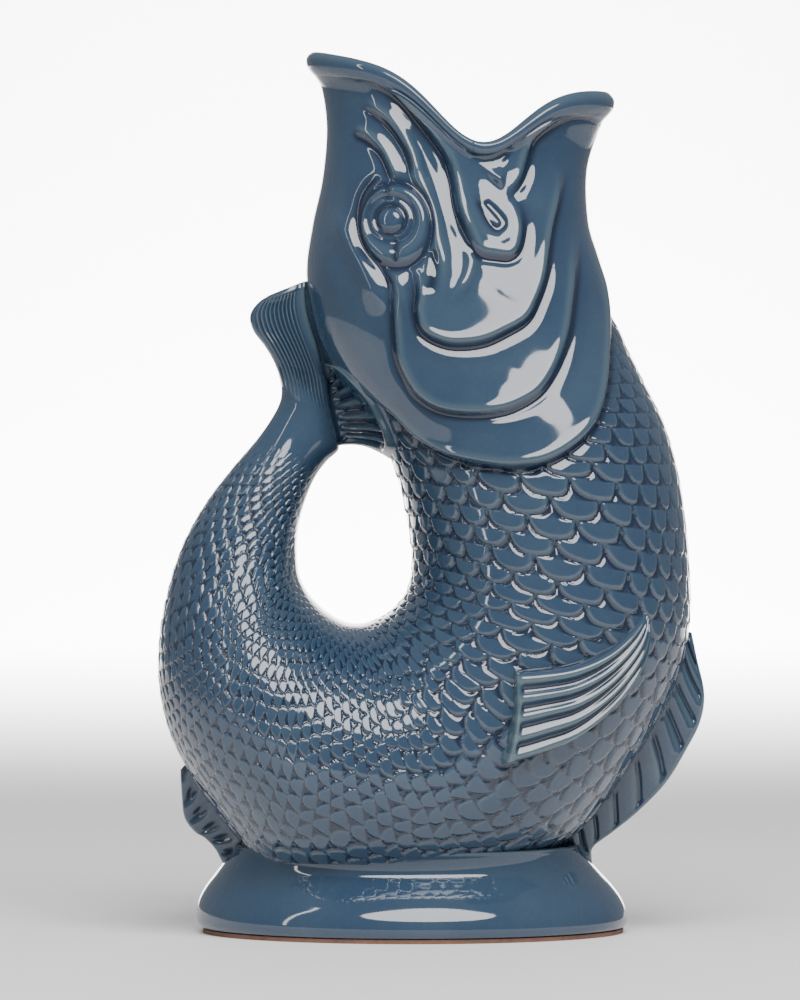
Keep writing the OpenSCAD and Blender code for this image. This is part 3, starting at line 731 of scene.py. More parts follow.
def glaze_colour_tree():
    """A glaze group: dark where it pools and where shade is painted, light where it runs thin over an edge.
    """
    tree, given, end = new_tree(
        "Pooled glaze and painted shade", "ShaderNodeTree",
        {"Glaze": (0.07, 0.13, 0.20, 1), "Pool and Shade Colour": (0.02, 0.05, 0.09, 1),
         "Edge Colour": (0.16, 0.22, 0.25, 1), "Pool and Shade Strength": 0.8, "Edge Strength": 0.5,
         "Cloud Size": 40.0, "Cloud Strength": 0.2, "Roughness": 0.06},
        {"Colour": COLOUR, "Roughness": FLOAT})
    place = node_out(tree, "ShaderNodeTexCoord", {}, "Object")
    clouds = noise_at(tree, place, Scale=given["Cloud Size"], Detail=4.0, Roughness=0.55)
    specks = noise_at(tree, place, Scale=900.0, Detail=1.0)
    pool, edge = (
        node_out(tree, "ShaderNodeAttribute", {}, "Fac", attribute_name=name) for name in ("pool", "edge"))
    cloud = (clouds.ramp(0.32, 0.72) + specks.ramp(0.40, 0.75) * 0.25) * given["Cloud Strength"]
    colour = mixed(tree, cloud, given["Glaze"], given["Edge Colour"])
    # Thin glaze lightens the edges; pooled glaze and painted shade darken the grooves and joins.
    colour = mixed(tree, edge * given["Edge Strength"], colour, given["Edge Colour"])
    colour = mixed(tree, pool * given["Pool and Shade Strength"], colour, given["Pool and Shade Colour"])
    put(tree, colour, end.inputs["Colour"])
    put(tree, given["Roughness"] + specks.ramp(0.45, 0.8) * 0.02, end.inputs["Roughness"])
    lay_out(tree)
    return tree


def glaze_ripple_tree():
    """A group for the slow ripple that a fired glaze leaves in its reflections, as a bump height."""
    tree, given, end = new_tree(
        "Glaze ripple", "ShaderNodeTree", {"Ripple Size": 70.0, "Pits": 0.05}, {"Height": FLOAT})
    place = node_out(tree, "ShaderNodeTexCoord", {}, "Object")
    ripple = noise_at(tree, place, Scale=given["Ripple Size"], Detail=2.0)
    pits = node_out(tree, "ShaderNodeTexVoronoi", {"Vector": place, "Scale": 260.0})
    put(tree, ripple - pits.ramp(0.0, 0.10, 1.0, 0.0) * given["Pits"], end.inputs["Height"])
    lay_out(tree)
    return tree


def new_material(name):
    """A material, its node tree and the sockets of its shader."""
    material = bpy.data.materials.new(name)
    material.use_nodes = True
    tree = material.node_tree
    return material, tree, next(n for n in tree.nodes if n.type == "BSDF_PRINCIPLED").inputs


def bump(tree, sockets, height, strength, distance):
    """Makes a shader's surface uneven, by a height and the distance that it stands for."""
    settings = {"Height": height, "Strength": strength, "Distance": distance}
    put(tree, node_out(tree, "ShaderNodeBump", settings), sockets["Normal"])


def glaze_material(name, colours, roughness_share, edge_strength, cloud_strength, ripple):
    """A glossy glaze over earthenware."""
    material, tree, sockets = new_material(name)
    look = node_out(tree, "ShaderNodeGroup", {
        "Glaze": (*colours.glaze, 1), "Pool and Shade Colour": (*colours.pool, 1), "Edge Colour": (*colours.edge, 1),
        "Pool and Shade Strength": colours.pool_and_shade_strength, "Edge Strength": edge_strength,
        "Cloud Strength": cloud_strength, "Roughness": colours.roughness * roughness_share},
        "Colour", node_tree=shared_tree("Pooled glaze and painted shade"))
    put(tree, look, sockets["Base Color"])
    put(tree, look.output("Roughness"), sockets["Roughness"])
    wave = node_out(tree, "ShaderNodeGroup", {}, node_tree=shared_tree("Glaze ripple"))
    bump(tree, sockets, wave, ripple, 0.0004)
    for socket, value in (("IOR", 1.55), ("Coat Weight", 0.35), ("Coat Roughness", 0.02)):
        sockets[socket].default_value = value
    lay_out(tree)
    return material


def clay_material(colours):
    """Bare fired clay, dry and a little gritty, brown where the glaze ends."""
    material, tree, sockets = new_material("bare_clay")
    place = node_out(tree, "ShaderNodeTexCoord", {}, "Object")
    grit = noise_at(tree, place, Scale=700.0, Detail=5.0)
    stain = noise_at(tree, place, Scale=60.0, Detail=3.0)
    stained = stain.ramp(0.3, 0.7) * 0.6 + grit.ramp(0.3, 0.8) * 0.3
    dark = [c * 0.55 for c in colours.clay]
    put(tree, mixed(tree, stained, (*colours.clay, 1), (*dark, 1)), sockets["Base Color"])
    put(tree, grit.ramp(0.0, 1.0, 0.7, 0.95), sockets["Roughness"])
    bump(tree, sockets, grit, 0.5, 0.0002)
    lay_out(tree)
    return material


@functools.cache
def shared_tree(name):
    """One of the two groups that all glazes use, made once."""
    return {"Pooled glaze and painted shade": glaze_colour_tree, "Glaze ripple": glaze_ripple_tree}[name]()


@functools.cache
def finish_of(slot):
    """The material for one of the record's slots."""
    colours = bpy.context.scene.jug_glaze
    if slot == "bare_clay":
        return clay_material(colours)
    return glaze_material(slot, colours, *GLAZES[slot])


def coat(piece, slot):
    """Gives a piece the material of a slot."""
    piece.data.materials.clear()
    piece.data.materials.append(finish_of(slot))


def finished(piece, slot, *nodes):
    """Gives a piece its glaze, and ties it to the frame in place of CAD nodes."""
    coat(piece, slot)
    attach(piece, "root")
    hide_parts(*nodes)


# Settings


def length_setting(name, description, default, highest, lowest=0.0):
    """A length, given in millimetres."""
    return FloatProperty(
        name=name, description=description, default=default * MM, min=lowest * MM, max=highest * MM,
        unit="LENGTH", precision=5)


def count_setting(name, description, default, lowest, highest):
    """A whole number."""
    return IntProperty(name=name, description=description, default=default, min=lowest, max=highest)


def share_setting(name, description, default, lowest=0.0, highest=1.0):
    """A strength, or another number without a unit."""
    return FloatProperty(
        name=name, description=description, default=default, min=lowest, max=highest, subtype="FACTOR")


def colour_setting(name, description, default):
    """A colour: its red, green and blue."""
    return FloatVectorProperty(
        name=name, description=description, default=default, size=3, min=0, max=1, subtype="COLOR")


def brightness_setting(name, description, default):
    """The brightness of a light, with no upper limit."""
    return FloatProperty(name=name, description=description, default=default, min=0)


class GlazeColours(bpy.types.PropertyGroup):
    glaze: colour_setting("Glaze", "Colour of the glaze on a plain surface", (0.026, 0.054, 0.098))
    # The pool colour and strength darken grooves and joins, for thick glaze and for painted shade.
    pool: colour_setting("Pools and painted shade", "Colour where the glaze lies thick in a groove", (0.006, 0.014, 0.034))
    # The thin glaze lightens edges; on the upright fins it also paints a highlight beside each crease.
    edge: colour_setting("Thin glaze", "Colour where the glaze runs thin over an edge", (0.085, 0.130, 0.150))
    clay: colour_setting("Bare clay", "Colour of the unglazed foot", (0.22, 0.12, 0.08))
    pool_and_shade_strength: share_setting("Pool and painted shade strength", "How dark the grooves turn", 0.90)
    roughness: share_setting("Roughness", "Roughness of the fired glaze", 0.055, 0.01, 0.5)


class ScaleSizes(bpy.types.PropertyGroup):
    relief: length_setting("Relief", "How far a large scale's free edge stands up", 0.9, 3)
    groove_depth: length_setting("Groove depth", "Depth of the groove beyond a scale's edge", 0.65, 2)
    overlap: share_setting("Overlap", "Length of a scale's free part, in rows", 1.06, 1.0, 1.3)
    breast_count: count_setting("Scales round the breast", "Scales in a full turn of the breast", 28, 10, 60)
    belly_count: count_setting("Scales round the belly", "Scales in a full turn of the belly", 48, 10, 80)
    tail_count: count_setting("Scales round the tail", "Scales in a full turn of the tail", 26, 10, 80)
    raggedness: share_setting("Raggedness", "How unevenly the carved scales lie", 0.30)
    seed: count_setting("Seed", "Picks the pattern of unevenness", 7, 0, 100)


class HeadRelief(bpy.types.PropertyGroup):
    gill_rise: length_setting("Gill cover", "Height of the gill cover's free edge", 1.9, 4)
    plate_rise: length_setting("Plates", "Height of the cheek plates' edges", 1.5, 4)
    lip_rise: length_setting("Lip fold", "Height of the fold beside the lips", 1.5, 4)
    groove_depth: length_setting("Grooves", "Depth of the grooves between the plates", 0.8, 2)
    eye_radius: length_setting("Eyeball radius", "Radius of each eyeball", 4.1, 8, 2)
    eye_ring_radius: length_setting("Eye ring radius", "Outer radius of the ring round each eye", 10.2, 15, 5)
    eye_rise: length_setting("Eye height", "Height of each eyeball and ring", 2.0, 4)


class FinSizes(bpy.types.PropertyGroup):
    side_rise: length_setting("Side fin height", "Height of a side fin's free edge", 4.4, 6)
    side_ribs: count_setting("Side fin ribs", "Ribs on each side fin", 5, 2, 12)
    belly_ribs: count_setting("Belly fin ribs", "Ribs on the belly fin", 12, 2, 20)
    anal_ribs: count_setting("Anal fin dents", "Dents along the anal fin", 7, 2, 12)
    tail_ribs: count_setting("Tail ribs", "Ribs across the tail's upper lobe", 14, 2, 24)
    rib_groove: length_setting("Rib grooves", "Depth of the grooves between ribs", 1.1, 2)
    root_thickness: length_setting("Root thickness", "Thickness of the upright fins at the belly", 8, 12, 2)
    edge_thickness: length_setting("Edge thickness", "Thickness of the upright fins at their edge", 3.6, 8, 1)


class VesselSizes(bpy.types.PropertyGroup):
    wall: length_setting("Wall", "Thickness of the fired wall", 4.5, 8, 2)
    lip_bulge: length_setting("Lip bulge", "How far the lips swell out of the head", 1.1, 3)
    lip_rise: length_setting("Lip height", "How far the lips rise above the rim at their tips", 3.1, 5)


class StudioLight(bpy.types.PropertyGroup):
    softbox: brightness_setting("Softbox", "Brightness of the large overhead softbox, in watts", 40)
    fill: brightness_setting("Fill", "Brightness of the side light, in watts", 4.5)
    backdrop: brightness_setting("Backdrop", "Brightness of the light on the backdrop, in watts", 165)
    room: brightness_setting("Room", "Brightness of the pale room", 0.30)


# The skin of the fish


def row_numbers(way):
    """The row of scales at each share of the way, counted from the rim of the mouth."""
    fine = np.linspace(0, SECTIONS, 2000)
    rates = np.interp(fine, *ROW_RATES)
    total = np.concatenate([[0], np.cumsum(rates[:-1] * np.diff(fine))])
    return np.interp(way * SECTIONS, fine, total)


def scale_shares(way, turn):
    """How many of the scales round a section lie before each turn from the belly line, as a share of all."""
    even = np.clip((way - CHEST_SCALES_END) / (EVEN_SCALES_START - CHEST_SCALES_END), 0, 1)
    marks = np.linspace(0, 0.5, 200)
    on_chest = along([[t] for t in CHEST_SCALE_TURNS], marks * 2)[:, 0]
    half = np.minimum(turn, 1 - turn)
    shares = np.stack([np.interp(half, on_chest * (1 - e) + marks * e, marks) for e in even])
    return np.where(turn <= 0.5, shares, 1 - shares)


def round_the_eye(places, head):
    """How far places lie from the middle of the eye's oval ring, 1 at its outer edge."""
    ring = head.eye_ring_radius
    return np.linalg.norm((places - np.array(EYE_CENTRE) * SPAN) / [ring, RING_HEIGHT * ring], axis=-1)


class HeadCarving:
    """The carving of the head at points of its right side: heights over the plain skin, and how dark its
    grooves turn, with pooled glaze and painted shade, and how light its ridges, with thin glaze."""

    def __init__(self, points, head):
        self.places, self.head = seen_from_side(points), head
        self.height, self.groove, self.ridge = (np.zeros(points.shape[:-1]) for _ in range(3))

    def mark(self, groove=0, ridge=0):
        """Marks grooves dark with pooled glaze and painted shade, and ridges light with thin glaze."""
        self.groove, self.ridge = np.maximum(self.groove, groove), np.maximum(self.ridge, ridge)

    def step(self, curve, rise, reach, deep=None, fades=(0.14, 0.14), light=0.9, steep=2.0, flatter=1.0):
        """A plate that stands up along the left of a curve and sinks away over the reach, with a groove
        on the curve's right. Both fade at the curve's ends."""
        d, share = beside(self.places, curve, reach)
        deep = self.head.groove_depth if deep is None else deep
        ends = rising(share, 0, fades[0]) * falling(share, 1, fades[1])
        power = steep - 0.7 * rising(share, flatter, 0.2)
        plate = rising(d, -0.7 * MM, 2.1 * MM) * np.clip(1 - d / reach, 0, 1) ** power
        rolled = 0.13 * bell(d, 1.6 * MM, 1.1 * MM)
        self.height += ends * (rise * (plate + rolled) - deep * bell(d, -1.1 * MM, 1.3 * MM))
        # The groove is painted dark for pooled glaze, with a broad painted shade a few millimetres beside it;
        # the rolled rim is painted light where the glaze runs thin.
        self.mark(
            ends * (bell(d, -0.8 * MM, 1.0 * MM) + 0.25 * bell(d, -2 * MM, 3 * MM)),
            light * ends * bell(d, 1.8 * MM, 0.9 * MM))

    def fold(self, curve, rise, width, light=0.5, taper=0.25):
        """A rounded fold along a curve, or a hollow where the rise is below 0."""
        d, share = beside(self.places, curve, width * 3.2)
        ends = rising(share, 0, taper) * falling(share, 1, taper)
        self.height += ends * rise * bell(d / width)
        self.mark(ridge=light * ends * bell(d / (width * 0.7)))

    def cut_line(self, curve, deep, width):
        """A thin groove along a curve."""
        d, share = beside(self.places, curve, width * 4)
        line = bell(d / width) * smooth(share / 0.1 + 0.3) * smooth((1 - share) / 0.1 + 0.3)
        self.height -= deep * line
        self.mark(line)

    def depth_inside(self, outline, reach):
        """How far the points lie inside a closed outline, up to the reach."""
        closed = outline + outline[:1]
        d, _ = beside(self.places, closed, reach)
        inside = within(self.places, along(closed, np.linspace(0, 1, OUTLINE_POINTS * len(closed))))
        return np.where(inside, np.minimum(np.abs(d), reach), 0)

    def plates_and_folds(self):
        """The gill cover, the cheek's plates, and the folds of the snout, below the eye and by the mouth."""
        head, step, fold = self.head, self.step, self.fold
        step(GILL_EDGE, head.gill_rise, 24 * MM, flatter=0.60)
        step(OPERCLE_EDGE, head.plate_rise, 20 * MM, flatter=0.58)
        step(CHEEK_EDGE, head.plate_rise * 1.5, 22 * MM, steep=1.5)
        step(SOCKET_EDGE, 0.9 * MM, 8 * MM, light=0.3)
        fold(CHEEKBONE, 1.7 * MM, 3.0 * MM, light=0.0)
        fold(NOSTRIL_HOLLOW, -0.6 * MM, 2.2 * MM, light=0.0)
        fold(SNOUT_VALLEY, -0.9 * MM, 2.6 * MM, light=0.0)
        step(NOSTRIL_EDGE, 0.7 * MM, 4.5 * MM, deep=0.4 * MM)
        step(BROW_EDGE, 1.0 * MM, 6 * MM, deep=0.5 * MM)
        fold(SNOUT_RIDGE, 1.2 * MM, 2.0 * MM, light=0.8)
        fold(SNOUT_FOLD, 1.1 * MM, 1.9 * MM)
        fold(EYE_RIDGE, 0.8 * MM, 2.0 * MM, taper=0.5)
        fold(EYE_FOLD, 0.9 * MM, 1.7 * MM, taper=0.5)
        self.cut_line(EYE_LINE, 0.3 * MM, 1.5 * MM)
        step(LIP_GROOVE, head.lip_rise, 12 * MM, fades=(0.32, 0.14))
        step(LOWER_LIP_GROOVE, head.lip_rise * 0.8, 9 * MM, fades=(0.14, 0.5))
        fold(LIP_BAND, 0.7 * MM, 2.3 * MM, light=0.3)
        in_web = smooth(self.depth_inside(WEB, WEB_FADE) / WEB_FADE)
        self.height -= in_web * WEB_TILT * (self.places[..., 1] - WEB_MIDDLE * JUG_HEIGHT)
        self.cut_line(JAW_GROOVE, 0.6 * MM, 1.05 * MM)

    def eye(self):
        """The eyeball in its two rings, in place of what is carved where it sits."""
        size, rise, ring = self.head.eye_radius, self.head.eye_rise, self.head.eye_ring_radius
        inner = size * 1.55
        out = round_the_eye(self.places, self.head)
        ball = np.linalg.norm(self.places - np.array(BALL_CENTRE) * SPAN, axis=-1)
        calm = rising(out, 0.97, 0.14)
        self.height, self.ridge, self.groove = self.height * calm, self.ridge * calm, self.groove * calm
        from_edge = np.maximum(1 - out, 0) * ring * 1.1
        from_inner = np.maximum(ball - inner, 0)
        band = from_edge / np.maximum(from_edge + from_inner, 0.1 * MM)
        outer_ring = 0.8 * rise * np.sin(np.pi * np.clip(band, 0, 1)) * (ball > inner)
        across = np.clip((ball - size) / (inner - size), 0, 1)
        inner_ring = 0.5 * rise * np.sin(np.pi * across) * (ball > size)
        dome = rise * np.sqrt(np.clip(1 - (ball / (1.12 * size)) ** 2, 0, 1))
        self.height += outer_ring + inner_ring + dome * falling(ball, 1.1 * size, 0.4 * size)
        for distance, deep, width in (
            (ball - size, 0.3 * MM, 1.0 * MM), ((out - 1) * ring * 1.1, 0.5 * MM, 1.3 * MM),
        ):
            self.height -= deep * bell(distance / width)
            self.mark(bell(distance / width))
        self.mark(0.5 * bell(ball, inner, 0.9 * MM), 0.5 * bell(band, 0.5, 0.2) * (out < 1) * (ball > inner))
        for notch in EYE_NOTCHES:
            self.cut_line(notch, 0.55 * MM, 0.95 * MM)


def carved_head(base, ways):
    """The carving on both sides of the head, as grids of heights, grooves and ridges over the whole skin,
    and the places of the head's points as they are seen from the side."""
    rows = ways < HEAD_END + GILLS_BEYOND
    carving = HeadCarving(base[rows][:, :SKIN_COLUMNS // 2 + 1], bpy.context.scene.jug_head)
    carving.plates_and_folds()
    carving.eye()
    columns = np.arange(SKIN_COLUMNS)
    mirror = np.minimum(columns, SKIN_COLUMNS - columns)
    grids = np.zeros((3, *base.shape[:2]))
    for grid, values in zip(grids, (softened(carving.height), carving.groove, carving.ridge)):
        grid[rows] = values[:, mirror]
    return *grids, carving.places[:, mirror]


def rib_crests(phase):
    """Narrow rounded ribs, one for each whole step of the phase, 1 on a rib and 0 between two."""
    return bell(phase % 1, 0.5, 0.26)


def between_ribs(crests, from_crest=0.6):
    """Where the glaze pools between ribs, with shade painted there too."""
    return 1 - smooth(crests / from_crest)


def on_ribs(crests):
    """Where the glaze runs thin on ribs."""
    return rising(crests, 0.5, 0.4)


def scaly_share(ways, turns, places):
    """How fully the scales stand out: not at all on the head and on the tail's palm, and less below the
    chin and along the back of the bend. The places are those of the head's points."""
    way, from_back, from_belly = ways[:, None], np.abs(turns - 0.5), np.minimum(turns, 1 - turns)
    on_head = within(places, GILL_EDGE + HEAD_OUTLINE)
    off_head, _ = beside(places, GILL_EDGE, 30 * MM)
    scaly = np.ones((len(ways), len(turns)))
    scaly[:len(places)] = np.where(on_head, 0, smooth(np.maximum(-off_head, 0) / (1.2 * MM)))
    scaly *= 1 - rising(way, 0.700, 0.055)
    scaly *= 1 - rising(way, 0.40, 0.05) * (1 - rising(from_back, 0.02, 0.10))
    return scaly * (1 - 0.75 * falling(way, 0.345, 0.05) * falling(from_belly, 0.10, 0.06))


@functools.cache
def shaped_skin():
    """The whole skin of the fish from the lips to the palm of the tail, with its scales and the carving
    of the head: its ways, the head's places, and grids of points, normals and glaze values."""
    scales, fins = bpy.context.scene.jug_scales, bpy.context.scene.jug_fins
    ways = np.concatenate([
        np.linspace(a, b, n + 1)[(0 if name == "face" else 1):] for name, (a, b, n) in SKIN_ROWS.items()])
    turns, way = column_turns(SKIN_COLUMNS), ways[:, None]
    base = skin(way, turns)
    relief, groove, ridge, places = carved_head(base, ways)

    # The ribs of the tail's upper lobe begin on the palm
    over = (1 + np.cos(2 * np.pi * turns)) / 2
    ribbed = rising(way, 0.815, 0.04) * rising(over, 0.08, 0.08) * falling(over, 0.97, 0.05)
    crests = rib_crests(fins.tail_ribs * over ** 0.9)
    relief -= 0.6 * fins.rib_groove * (1 - crests) * ribbed
    groove = np.maximum(groove, between_ribs(crests) * ribbed * 0.8)
    ridge = np.maximum(ridge, on_ribs(crests) * ribbed * 0.7)

    rows = row_numbers(ways)
    turn = scale_shares(ways, turns)
    passed = (np.roll(turn, -1, 1) - np.roll(turn, 1, 1)) % 1
    turn_length = np.linalg.norm(np.roll(base, -1, 1) - np.roll(base, 1, 1), axis=-1) / passed
    row_length = np.linalg.norm(np.gradient(base, axis=0), axis=-1) / np.gradient(rows)[:, None]
    padded = rising(way, 0.40, 0.06) * falling(way, 0.60, 0.05)
    carrier = new_mesh(
        "skin", base, [loop_faces(*base.shape[:2])], row=rows[:, None], turn=turn, turn_length=turn_length,
        row_length=row_length, scaly=scaly_share(ways, turns, places), ragged=0.35 + 0.60 * padded,
        padded=padded, relief=relief, groove=groove, ridge=ridge)
    outward = carrier.data.attributes.new("outward", "FLOAT_VECTOR", "POINT")
    outward.data.foreach_set("vector", grid_normals(base).astype(np.float32).ravel())
    mesh = applied(carrier, scales_tree(), {
        "Glaze": finish_of("glaze"), "Relief": scales.relief, "Groove Depth": scales.groove_depth,
        "Overlap": scales.overlap, "Breast Scales": float(scales.breast_count),
        "Belly Scales": float(scales.belly_count), "Tail Scales": float(scales.tail_count),
        "Narrowing Starts": float(row_numbers(NARROWING_SECTION / SECTIONS)),
        "Tail Starts": float(row_numbers(TAIL_SECTION / SECTIONS)),
        "Raggedness": scales.raggedness, "Seed": float(scales.seed)})

    points = np.empty(base.size, np.float32)
    mesh.vertices.foreach_get("co", points)
    points = points.reshape(base.shape).astype(float)
    points[..., 2] = np.maximum(points[..., 2], PEDESTAL_HIGH.z - 0.5 * MM)
    found = {"ways": ways, "places": places, "points": points, "normals": grid_normals(points)}
    for kind in ("pool", "edge"):
        values = np.empty(turn.size, np.float32)
        mesh.attributes[kind].data.foreach_get("value", values)
        found[kind] = values.reshape(turn.shape)
    bpy.data.meshes.remove(mesh)
    bpy.data.objects.remove(carrier)
    return found


def part_of_skin(name, node, sunk=None):
    """One of the hollow pieces of the skin, in place of a CAD node. It may be sunk by a grid of depths."""
    start, end, _ = SKIN_ROWS[name]
    found = shaped_skin()
    rows = (found["ways"] >= start - CLOSE) & (found["ways"] <= end + CLOSE)
    points, normals, pool, edge = (found[kind][rows] for kind in ("points", "normals", "pool", "edge"))
    if sunk is not None:
        points = points - normals * sunk[rows[:len(sunk)]][..., None]
    finished(hollow_piece(name, points, normals, (start, end), pool=pool, edge=edge), "glaze", node)


# The pieces


class JUG_OT_body(bpy.types.Operator):
    """Make the scaled chest, belly and tail of the fish"""

    bl_idname = "jug.body"
    bl_label = "Scaled body"

    def execute(self, context):
        for name in ("chest", "belly_front", "belly_rear"):
            part_of_skin(name, "body")
        part_of_skin("tail", "tail_handle")
        return {"FINISHED"}


class JUG_OT_head(bpy.types.Operator):
    """Make the smooth head with its gill covers, cheek plates, jaw lobes and eyes"""

    bl_idname = "jug.head"
    bl_label = "Head"

    def execute(self, context):
        found = shaped_skin()
        count = (found["ways"] <= HEAD_END + CLOSE).sum()
        places, points, normals, pool, edge = (
            found[kind][:count] for kind in ("places", "points", "normals", "pool", "edge"))
        middles = (places[:-1] + places[1:]) / 2
        middles = (middles + np.roll(middles, -1, axis=1)) / 2
        outlines = {
            "eye": round_the_eye(middles, context.scene.jug_head) < 1,
            "jaw_lobe": within(middles, JAW_LOBE),
            "cheek_plate": within(middles, OPERCLE_EDGE + CHEEK_EDGE[-2::-1]),
            "gill_cover": within(middles, GILL_EDGE + OPERCLE_EDGE[::-1]),
        }
        on_right = np.arange(SKIN_COLUMNS) < SKIN_COLUMNS // 2
        taken = np.zeros((count, SKIN_COLUMNS), bool)
        for part, covered in outlines.items():
            covered = covered & ~taken[:-1]
            taken[:-1] |= covered
            for side, ours in (("right", on_right), ("left", ~on_right)):
                name = f"{side}_{part}"
                piece = patch_piece(name, points, normals, covered & ours, pool=pool, edge=edge)
                finished(piece, "eye_glaze" if part == "eye" else "glaze", name)
        # Beneath those pieces the skin is sunk, but not beneath their rims
        for _ in range(4):
            taken &= np.roll(taken, 1, axis=1) & np.roll(taken, -1, axis=1)
            taken[1:] &= taken[:-1]
            taken[:-1] &= taken[1:]
        for name in ("face", "neck"):
            part_of_skin(name, "head", taken * BENEATH_PATCH)
        return {"FINISHED"}


class JUG_OT_lips(bpy.types.Operator):
    """Make the two rolled lips round the mouth"""

    bl_idname = "jug.lips"
    bl_label = "Lips"

    def execute(self, context):
        vessel, rim = context.scene.jug_vessel, shaped_skin()["points"][0]
        turns = column_turns(SKIN_COLUMNS)
        corner = int(np.argmin(np.abs(turns - MOUTH_CORNER)))
        shares = np.linspace(0, 1, 37)
        pool, edge = 0.9 * bell(shares / 0.06), 0.6 * bell(shares, 0.5, 0.12)
        for name, first, last in (
            ("upper_lip", corner, SKIN_COLUMNS - corner), ("lower_lip", -corner, corner),
        ):
            picked = np.arange(first, last + 1) % SKIN_COLUMNS
            turn = turns[picked]
            rise = vessel.lip_rise * (0.4 + 0.6 * np.cos(2 * np.pi * turn) ** 2)
            stations = [rim[picked]]
            for way, out, inwards, up in LIP_PROFILE:
                station = skin(LIP_END * way, turn, out * vessel.lip_bulge - inwards * vessel.wall)
                station[:, 2] += up * rise
                stations.append(station)
            sections = np.stack([along(profile, shares) for profile in np.stack(stations, 1)])
            finished(lofted(name, sections, pool=pool, edge=edge), "glaze", name)
        return {"FINISHED"}


def share_grid(rows, columns):
    """Shares from 0 to 1 down the rows and along the columns of a grid."""
    return np.meshgrid(np.linspace(0, 1, rows), np.linspace(0, 1, columns), indexing="ij")


def rounded(distance, over):
    """A quarter round that rises from 0 at an edge to 1, over a distance from it."""
    return np.sqrt(np.clip(1 - (1 - np.clip(distance / over, 0, 1)) ** 2, 0, 1))


def glaze_values(pool, edge, change):
    """The pool and edge values of a piece, each grid of them changed in the same way."""
    return {"pool": change(pool), "edge": change(edge)}


class JUG_OT_side_fins(bpy.types.Operator):
    """Make the ribbed fin on each flank"""

    bl_idname = "jug.side_fins"
    bl_label = "Side fins"

    def execute(self, context):
        fins = context.scene.jug_fins
        p, q = share_grid(150, 260)
        low, high = along(SIDE_FIN_BOTTOM, p), along(SIDE_FIN_TOP, p)
        way, turn = np.moveaxis(low + (high - low) * q[..., None], -1, 0)
        flat = skin(way, turn)
        middle = flat[:, q.shape[1] // 2]
        to_end = (1 - p) * np.linalg.norm(middle[-1] - middle[0])
        to_side = np.minimum(q, 1 - q) * np.linalg.norm(flat[:, -1] - flat[:, 0], axis=-1)[:, None]

        crest = (1 - np.cos(2 * np.pi * fins.side_ribs * (1 - (1 - q) ** 1.12))) / 2
        ribbed = rising(to_end, 2.2 * MM, 1.4 * MM) * (0.25 + 0.75 * rising(p, 0, 0.5))
        height = fins.side_rise * (0.14 + 0.86 * p ** 0.9) * rising(p, 0, 0.10)
        height = (height - 1.35 * fins.rib_groove * (1 - crest) * ribbed) * rounded(to_end, 1.8 * MM)
        height = (height + SIDE_FIN_SUNK) * rounded(to_side, 1.6 * MM) - SIDE_FIN_SUNK
        pool = 0.8 * between_ribs(crest, 0.45) * ribbed * rising(p, 0, 0.2)
        edge = 0.9 * on_ribs(crest) * rising(p, 0, 0.3) + 0.8 * bell(to_end, 1.2 * MM, 1.3 * MM)
        top = skin(way, turn, np.maximum(height, -SIDE_FIN_SUNK))
        bottom = skin(way, turn, -2 * SIDE_FIN_SUNK)[:, ::-6]
        loops = np.concatenate([top, bottom], 1)
        blank = np.zeros(bottom.shape[:2])
        values = glaze_values(pool, edge, lambda v: np.concatenate([v, blank], 1))
        for side, sign in (("right", 1), ("left", -1)):
            name = f"{side}_side_fin"
            finished(lofted(name, loops * [1, sign, 1], **values), "fin_glaze", name)
        return {"FINISHED"}


def upright_fin(name, edge_shares, ribs, slant, fins, dented):
    """A thin fin that stands on the belly line, with ribs or dents across both faces."""
    p, q = share_grid(300, 56)
    rim = along(edge_shares, p)
    outer = np.stack([rim[..., 0] * JUG_LENGTH, 0 * p, rim[..., 1] * JUG_HEIGHT], -1)
    root = skin(rim[..., 2], 0, -1.5 * MM)
    root[..., 2] = np.maximum(root[..., 2], PEDESTAL_HIGH.z - 2 * MM)
    middle = root + (outer - root) * q[..., None]
    half = (fins.root_thickness + (fins.edge_thickness - fins.root_thickness) * np.sqrt(q)) / 2
    across = (ribs * (p - slant * q) + 0.5) % 1 - 0.5
    # Each dent or crease is painted dark, with a painted highlight along one side of it.
    if dented:
        low = bell(across / 0.22) * bell(q, 0.52, 0.26)
        light = bell(across, 0.30, 0.10) * bell(q, 0.52, 0.3)
        half = half - 0.9 * fins.rib_groove * low
    else:
        inner = falling(q, 0.92, 0.12) * rising(q, 0.06, 0.15)
        low = bell(across / 0.09) * inner
        light = bell(across, 0.20, 0.12) * inner * 0.8
        half = half - 0.25 * MM * np.cos(2 * np.pi * across) * inner - 0.55 * fins.rib_groove * low
    half = half * np.sqrt(np.clip(1 - np.clip((q - 0.93) / 0.07, 0, 1) ** 2, 0, 1))
    taper = rising(p, 0, 0.06) * falling(p, 1, 0.04)
    half = half * (0.25 + 0.75 * taper) + 0.05 * MM
    out = np.stack([0 * p, half, 0 * p], -1)
    loops = np.concatenate([middle - out, (middle + out)[:, ::-1]], 1)
    # Darker in the join with the belly, with pooled glaze and painted shade; lighter over the free edge,
    # where the glaze runs thin.
    pool = np.maximum(low * 0.9, 0.45 * bell(q / 0.12))
    edge = 0.8 * light + 0.7 * rising(q, 0.88, 0.06)
    values = glaze_values(pool, edge, lambda v: np.concatenate([v, v[:, ::-1]], 1))
    finished(lofted(name, loops, **values), "fin_glaze", name)


class JUG_OT_belly_fins(bpy.types.Operator):
    """Make the belly fin and the anal fin, which stand upright on the belly line"""

    bl_idname = "jug.belly_fins"
    bl_label = "Belly fins"

    def execute(self, context):
        fins = context.scene.jug_fins
        upright_fin("belly_fin", BELLY_FIN_EDGE, fins.belly_ribs, 0.13, fins, False)
        upright_fin("anal_fin", ANAL_FIN_EDGE, fins.anal_ribs, 0.05, fins, True)
        return {"FINISHED"}


